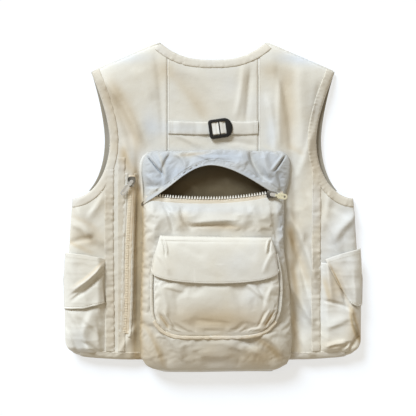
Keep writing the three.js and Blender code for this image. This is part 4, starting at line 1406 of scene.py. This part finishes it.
# Stitches along the folded lip and along the seam at the top
def sewCrown(lift=np.array([0, 0, 0.5])):
    fromLip = np.linalg.norm(crownPoints[3:, :, :2] - crownRow[None, :, :2], axis=2)
    row = np.abs(fromLip - bag["lipBand"]).argmin(axis=0) + 3
    stitchRuns["vest"].append(crownPoints[row, range(crownPoints.shape[1])][10:-10] + lift)
    stitchRuns["vest"].append(crownPoints[-4, 10:-10] + lift)


sewCrown()


# Dark cloth that lines the bag
def liningGrid():
    left = [(-128, -290), (-128, -60), (-125, 6), (-127, 60), (-116, 100)]
    right = [(136, -290), (131, -150), (126, -60), (129, 6), (136, 60), (128, 100)]
    grid = patch([left[0], right[0]], [left[-1], right[-1]], left, right, 90, 70)
    x, y = grid[..., 0], grid[..., 1]
    z = bagBase + 1.4 + 1.8 * smooth(ripple(x, y, 70, seedValue + 12) * 0.5 + 0.5)
    z = z + 0.5 * ripple(x, y, 24, seedValue + 13)
    z = z + foldHeight(x, y, [(-60, 60, -20, 6, 9, 2.6, 3), (20, 72, 40, 10, 8, 2.2, 0),
                              (-6, 80, -4, 20, 4, 1.4, 0)])
    return np.dstack([grid, z])


clothFromGrid("bag_lining_cloth", liningGrid(), 1.2, "lining", "vest", ("bag_lining",))
welt = {
    "path": [(-140, -70), (-139.5, 0), (-141, 30), (-143.5, 66), (-142, 88), (-135, 102), (-118, 110)],
    "width": 8, "height": 4.2, "count": 120,
}


# A rounded seam outlines the bag's upper left corner and fades out at both ends
def makeWelt():
    run = softened(resample(welt["path"], welt["count"]), 30)
    fade = smooth(np.linspace(0, 3, welt["count"])) * smooth(np.linspace(4, 0, welt["count"]))
    bandPiece("bag_side_welt", run, -1, welt["width"], bodyHeight, "twill", lift=welt["height"] * fade,
              pucker=0.3, seed=63, tuck=0, rounding=2.5)


makeWelt()
print("bag ready")

# The bag's zip: a tape and its teeth on each lip, and the closed end at the slider
bagZip = {
    "tape": 8.5, "tapeDrop": 1.5, "tapeLift": 0.6, "startX": -130, "endX": 106, "shutX": 134,
    "firstTooth": -112, "pitch": 5.2, "toothAlong": 4.2, "toothAcross": 5.4, "toothHeight": 3.0,
    "shutPitch": 3.0, "upperAcross": 3.4, "upperHeight": 1.9, "upperStart": -122, "upperEnd": 104,
}
toothSize = {"Pitch": bagZip["pitch"], "Length": bagZip["toothAlong"], "Width": bagZip["toothAcross"],
             "Height": bagZip["toothHeight"]}


def lipLevel(x, y):
    return bagHeight(x, np.full_like(x, bag["lipY"])) - bagZip["tapeDrop"]


# A line along the lower lip, some way behind it and above it
def alongLip(x0, x1, count, behind, above):
    x = np.linspace(x0, x1, count)
    return np.column_stack([x, bag["lipY"] + lipRise(x) + behind, lipLevel(x, x) + above])


def makeLowerZip():
    run = alongLip(bagZip["startX"], 132, 150, bagZip["tapeLift"], 0)[:, :2]
    bandPiece("bag_lower_tape", run, 1, bagZip["tape"], lipLevel, "tape", ("bag_zip_lower_tape",), lift=0.5,
              pucker=0.35, pitch=14, seed=61, tuck=0, thickness=0.7)
    teeth = alongLip(bagZip["firstTooth"], bagZip["endX"], 160, bagZip["tape"] + 1.4, 0.8)
    rowPiece("bag_lower_teeth", [teeth], toothTree, "teeth", "vest", toothSize, facets=True)


def makeUpperZip():
    lip = crownRow[(crownRow[:, 0] > bagZip["upperStart"]) & (crownRow[:, 0] < bagZip["upperEnd"])]
    tape = np.stack([lip + np.array([0, 4.5, -3.2]), lip + np.array([0, -0.4, -3.4])])[::-1]
    clothFromGrid("bag_upper_tape", tape, 0.7, "tape", "vest", ("bag_zip_upper_tape",))
    size = dict(toothSize, Width=bagZip["upperAcross"], Height=bagZip["upperHeight"])
    rowPiece("bag_upper_teeth", [lip + np.array([0, -0.8, -2.9])], toothTree, "chain", "vest", size,
             facets=True)


# Teeth already meshed, past the slider
def makeShutTeeth():
    run = alongLip(bagZip["endX"] + 12, bagZip["shutX"], 20, 3.5, 1.2)
    size = dict(toothSize, Pitch=bagZip["shutPitch"])
    rowPiece("bag_shut_teeth", [run], toothTree, "chain", "vest", size, facets=True)


makeLowerZip()
makeUpperZip()
makeShutTeeth()
makeSlider("bag", "gilt", 0.8)

# The pocket on the bag's face, its binding and its flap
pouchLow, pouchHigh = boxMm("outer_pocket_body")
flapLow, flapHigh = boxMm("outer_pocket_flap")
pouchFolds = [
    (-100, -203, -84, -229, 3.2, -3.4, 1), (-92, -200, -77, -224, 3.2, 2.8, 0),
    (-106, -212, -92, -234, 3, 2.6, 0), (-84, -206, -70, -230, 3.4, -2.4, 0),
    (114, -198, 100, -222, 3.2, -3.4, 0), (105, -196, 92, -219, 3.4, 2.8, 0),
    (118, -206, 108, -226, 3, 2.4, 0), (96, -200, 84, -226, 3.4, -2.2, 0),
    (-104, -146, -86, -196, 7, 3.2, 3), (112, -150, 98, -192, 7, 3.0, -3),
    (84, -148, 100, -186, 6, -2.6, 0), (-92, -150, -60, -158, 5, 2.0, 0),
    (-70, -160, -64, -200, 12, -1.6, 0), (40, -150, 56, -200, 12, -1.4, 0),
    (64, -146, 92, -170, 6, 2.4, 0),
]


def pouchEdges(y):
    return along(pouch["left"], y), along(pouch["right"], y)


def pouchHeight(x, y):
    left, right = pouchEdges(y)
    t = np.clip(np.abs(x - (left + right) / 2) / ((right - left) / 2), 0, 1)
    side = (1 - t ** pouch["power"]) ** (1 / pouch["power"])
    down = np.clip((pouch["roundFrom"] - y) / (pouch["roundFrom"] - pouch["roundTo"]), 0, 1)
    end = 0.42 * (1 - down ** 2.6) ** (1 / 2.6) + 0.58 * (1 - smooth(down))
    high = pouchHigh[2] - pouchLow[2] - 0.4
    relief = 1.15 * foldHeight(x, y, pouchFolds) + 0.4 * ripple(x, y, 52, seedValue + 15)
    relief = relief + 0.1 * ripple(x, y, 15, seedValue + 16)
    relief = np.where(y > -140, np.minimum(relief, 0), relief)
    return pouchLow[2] - 1.2 + (high * end + relief * smooth(end * 2)) * side


def pouchGrid():
    rowY = pouch["foot"] + (flapHigh[1] - 14 - pouch["foot"]) * np.linspace(0, 1, pouch["rows"]) ** 1.25
    turn = np.linspace(-math.pi / 2, math.pi / 2, pouch["columns"])
    across = np.sign(turn) * np.abs(np.sin(turn)) ** (2 / pouch["power"])
    left, right = pouchEdges(rowY)
    x = (left + right)[:, None] / 2 + (right - left)[:, None] / 2 * across[None]
    y = np.repeat(rowY[:, None], pouch["columns"], 1)
    grid = np.dstack([x, y, pouchHeight(x, y)])
    held = border(*grid.shape[:2], 5, 4, 4, 6)
    return relax(grid, np.maximum(held, smooth((grid[..., 1] + 142) / 10)), 0.02, 0.8, 2.5, bend=12)


def pouchFoot(x, y):
    return np.maximum(bagHeight(x, y), pouchLow[2] - 1) + 0.2


# The seam round the pocket, with a wider binding along its bottom
def makePouchSeam():
    left = [(x - pouch["seamOut"], y) for y, x in sorted(pouch["left"], reverse=True)
            if y < pouch["seamTop"]]
    right = [(x + pouch["seamOut"], y) for y, x in sorted(pouch["right"]) if y < pouch["seamTop"]]
    seam = softened(resample(left + right, 260), 60)
    bottom = seam[seam[:, 1] < pouch["bindingTop"]]
    bandPiece("outer_pocket_piping", bottom, -1, pouch["binding"], pouchFoot, "piping",
              ("outer_pocket_binding",), lift=2.2, pucker=0.5, pitch=9, seed=71, tuck=1.5, rounding=3)
    bandPiece("outer_pocket_edge", seam, -1, pouch["edge"], pouchFoot, "twill", lift=1.5, pucker=0.6,
              pitch=9, seed=73, tuck=1.0, rounding=3)
    sew(offsetLine(seam, -2.0), pouchFoot, lift=2.2)


clothFromGrid("outer_pocket_cloth", pouchGrid(), 0.9, "twill", "vest", ("outer_pocket_body",), "lining")
makePouchSeam()

flap = {"rows": 84, "columns": 150, "seam": 10, "middle": 75, "stitchIn": (2.5, 10)}
flapFolds = [
    (-97, -64, -91, -90, 2.2, -4.2, 1.5), (-92.5, -63, -87, -88, 1.9, 3.6, 1.5),
    (111, -61, 105, -86, 2.2, -4.2, -1.5), (106, -60, 100.5, -84, 1.9, 3.6, -1.5),
    (-104, -92, -84, -124, 6, 2.2, 2), (112, -88, 96, -120, 6, 2.2, -2),
    (-60, -72, -20, -92, 12, -1.6, 0), (40, -70, 76, -96, 12, -1.4, 0),
]


def flapGrid():
    top = [(-101, flapHigh[1] + 1), (4, flapHigh[1] - 1), (111, flapHigh[1] - 3)]
    dip = np.linspace(0, math.pi, 40)
    bottom = np.column_stack([4 - 120.5 * np.cos(dip), -121 - 22.5 * np.sin(dip) ** 0.9])
    grid = patch(bottom, top, [(-116.5, -121), (-110, -84), (-101, flapHigh[1] + 1)],
                 [(124.5, -121), (119, -84), (111, flapHigh[1] - 3)], flap["rows"], flap["columns"],
                 lambda t: t)
    x, y = grid[..., 0], grid[..., 1]
    v = np.linspace(0, 1, flap["rows"])[:, None]
    t = np.abs(np.linspace(-1, 1, flap["columns"]))[None]
    side = (1 - t ** 5) ** 0.5
    rise = (1 - v ** 4.5) ** 0.5
    low = flapLow[2] + 1.4
    relief = foldHeight(x, y, flapFolds) + 0.4 * ripple(x, y, 40, seedValue + 18)
    relief = np.where((np.abs(x - 5) < 40) & (y < -108), np.maximum(relief, 0), relief)
    fromTop = flapHigh[1] - y
    seam = 0.9 * np.exp(-((fromTop - flap["seam"]) / 2.2) ** 2) + 0.6 * np.exp(-((fromTop - 2.5) / 2) ** 2)
    z = low + (flapHigh[2] - low + 0.2) * side * rise + relief * smooth(side * rise * 1.5) - seam * side
    body = np.dstack([x, y, z])
    under = body[:1].repeat(3, 0)
    for i, (back, drop) in enumerate(((5, 2.4), (0.0, 2.2), (-1.2, 1.0))):
        under[i, :, 1] += back
        under[i, :, 2] -= drop
    return np.concatenate([under, body])


def makeOuterFlap():
    grid = flapGrid()
    lift = np.array([0, 0, 0.4])
    piece = clothFromGrid("outer_flap_cloth", grid, 1.2, "twill", "outer_flap", ("outer_pocket_flap",))
    foldAlong(piece)
    runs = stitchRuns["outer_flap"]
    runs.append(grid[6, 3:-3] + lift)
    for inset in flap["stitchIn"]:
        row = 3 + int(np.abs(grid[3:, flap["middle"], 1] - (flapHigh[1] - inset)).argmin())
        runs.append(grid[row, 4:-4] + lift)


# Nodes that keep their frame shape take the scene's own materials
def refinish(finishes):
    for node, finish in finishes.items():
        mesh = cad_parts[node].data
        mesh.materials.clear()
        mesh.materials.append(materials[finish])


makeOuterFlap()
refinish({"pocket_loop_tape": "pile", "flap_hook_tape": "pile"})
print("outer pocket ready")


# The bellows pockets at both sides, each with a flap
sidePocketLow, sidePocketHigh = boxMm("side_pocket_right")
sidePocket = {
    "swell": 9.5, "out": 8, "innerX": 207,
    "leftFolds": [
        (-212, -112, -262, -156, 5, 4.2, 3), (-210, -124, -268, -176, 5, -3.6, 2),
        (-276, -204, -238, -284, 9, 4.4, 6), (-262, -206, -216, -246, 10, 3.4, 3),
        (-246, -262, -214, -286, 5, -3.4, 0), (-284, -230, -262, -282, 7, -3, 4),
        (-222, -214, -214, -262, 7, -2.4, 0),
    ],
    "rightFolds": [
        (266, -196, 287, -248, 7, 5.0, -5), (286, -246, 262, -284, 6, -4.2, -4),
        (218, -104, 228, -176, 7, 3.6, 0), (232, -120, 256, -184, 6, -3.8, 3),
        (216, -182, 262, -196, 4, -3.0, 2), (222, -232, 262, -214, 11, 3.0, 0),
        (218, -270, 256, -262, 5, 3.4, 2), (240, -284, 262, -262, 6, -3.2, 0),
    ],
}


def sidePocketHeight(x, y):
    side = np.sign(np.mean(x))
    bodyZ = bodyHeight(np.minimum(np.abs(x), 252) * side, y) - 0.5
    a = np.abs(x)
    inner = smooth((a - sidePocket["innerX"]) / 16)
    edge = sideEdge(y, 0) + sidePocket["out"]
    outer = np.sqrt(np.clip(1 - np.clip((a - edge + 26) / 26, 0, 1) ** 2, 0, 1))
    end = smooth((y - sidePocketLow[1] - hemLift(x) * 0.5) / 14)
    folds = sidePocket["rightFolds"] if side > 0 else sidePocket["leftFolds"]
    relief = 1.35 * foldHeight(x, y, folds) + 0.55 * ripple(x, y, 44, seedValue + 21)
    relief = relief + 0.1 * ripple(x, y, 14, seedValue + 22)
    top = bodyZ + (sidePocket["swell"] + relief) * inner * end
    return 13 + (top - 13) * np.maximum(outer, 0.0)


def sidePocketGrid(side):
    y = sidePocketLow[1] + 1 + (sidePocketHigh[1] + 3 - sidePocketLow[1]) * np.linspace(0, 1, 110) ** 1.7
    edge = sideEdge(y, 0) + sidePocket["out"] - fall(y - sidePocketLow[1], 24, 20)
    share = crowd(np.linspace(0, 1, 50))
    x = sidePocket["innerX"] + (edge - sidePocket["innerX"])[:, None] * share[None]
    lift = hemLift(x) * smooth((-220 - y) / 60)[:, None]
    rows = np.repeat(y[:, None], 50, 1) + lift
    x = x * side
    if side < 0:
        x, rows = x[:, ::-1], rows[:, ::-1]
    grid = np.dstack([x, rows, sidePocketHeight(x, rows)])
    return wrapUnder(grid, side, 152, lambda u, v: 2.4 + 0.3 * ripple(u, v, 30, seedValue + 24), drop=13)


def flapOutline(side):
    if side > 0:
        return ([(266, -186), (278, -192), (290, -190)], [(216, -101), (248, -90), (286, -80)],
                [(266, -186), (240, -146), (216, -101)], [(290, -190), (291, -140), (286, -80)])
    return ([(-289, -197), (-250, -196), (-209, -186)], [(-286, -88), (-250, -92), (-208, -100)],
            [(-289, -197), (-291, -140), (-286, -88)], [(-209, -186), (-212, -146), (-208, -100)])


def sideFlapGrid(side):
    grid = patch(*[resample(line, 30) for line in flapOutline(side)], 56, 44, lambda t: t)
    x, y = grid[..., 0], grid[..., 1]
    v = np.linspace(0, 1, 56)[:, None]
    folds = [(-212, -108, -264, -152, 5, 4.0, 3), (-210, -122, -270, -168, 5, -3.4, 2),
             (-276, -120, -240, -190, 9, 2.6, 0)]
    if side > 0:
        folds = [(226, -106, 262, -168, 8, 3.0, 0), (250, -100, 282, -150, 9, -2.4, 0),
                 (272, -120, 276, -186, 8, 2.0, 0)]
    lift = 2.4 + 2.6 * (1 - v) - 2.4 * v ** 8 + foldHeight(x, y, folds) * smooth((1 - v) * 4)
    z = np.maximum(sidePocketHeight(x, y), 9) + lift
    body = np.dstack([x, y, z])
    under = body[:1].repeat(2, 0)
    under[0, :, 1] += 3
    under[:, :, 2] -= np.array([1.6, 1.2])[:, None]
    return np.concatenate([under, body])


def makeSidePocket(side, name):
    clothFromGrid(f"side_pocket_cloth_{name}", sidePocketGrid(side), 1.4, "twill", "vest",
                  (f"side_pocket_{name}",))
    body = f"side_flap_{name}"
    grid = sideFlapGrid(side)
    piece = clothFromGrid(f"side_flap_cloth_{name}", grid, 1.2, "twill", body,
                          (f"side_pocket_flap_{name}",))
    foldAlong(piece)
    for row in (5, -5):
        stitchRuns[body].append(grid[row, 2:-2] + np.array([0, 0, 0.4]))


for side, name in ((1, "right"), (-1, "left")):
    makeSidePocket(side, name)
print("side pockets ready")

# Open-topped pouches under the front, and the front's own zip
chestLow, chestHigh = boxMm("chest_pocket_right")
chest = {"rows": 40, "columns": 40, "power": 4.0}


def chestGrid(side):
    t = np.linspace(-1, 1, chest["columns"])[None]
    v = np.linspace(-1, 1, chest["rows"])[:, None]
    x = (chestLow[0] + chestHigh[0]) / 2 * side + (chestHigh[0] - chestLow[0]) / 2 * t + 0 * v
    y = (chestLow[1] + chestHigh[1]) / 2 + (chestHigh[1] - chestLow[1]) / 2 * v + 0 * t
    full = ((1 - np.abs(t) ** chest["power"])
            * (1 - np.where(v < 0, np.abs(v), v * 0.5) ** chest["power"])) ** 0.4
    z = chestHigh[2] - 0.8 - (chestHigh[2] - 1.8) * full + 0.5 * ripple(x, y, 26, seedValue + 27) * full
    return np.dstack([x, y, np.maximum(z, 0.3)])[:, ::-1]


for side, name in ((1, "right"), (-1, "left")):
    clothFromGrid(f"chest_pouch_{name}", chestGrid(side), 0.9, "twill", "vest", (f"chest_pocket_{name}",))
refinish({"front_zip_tape": "tape", "front_zip_teeth": "chain"})
makeSlider("front", "metal")
print("front ready")

threadSize = {"Pitch": 3.4, "Length": 2.5, "Width": 0.75, "Height": 0.6}


def makeStitching():
    for body, runs in stitchRuns.items():
        sewn = rowPiece(f"stitching_{body}", runs, threadTree, "thread", body, threadSize)
        if body != "vest":
            foldAlong(sewn)
    print("stitching ready")


makeStitching()
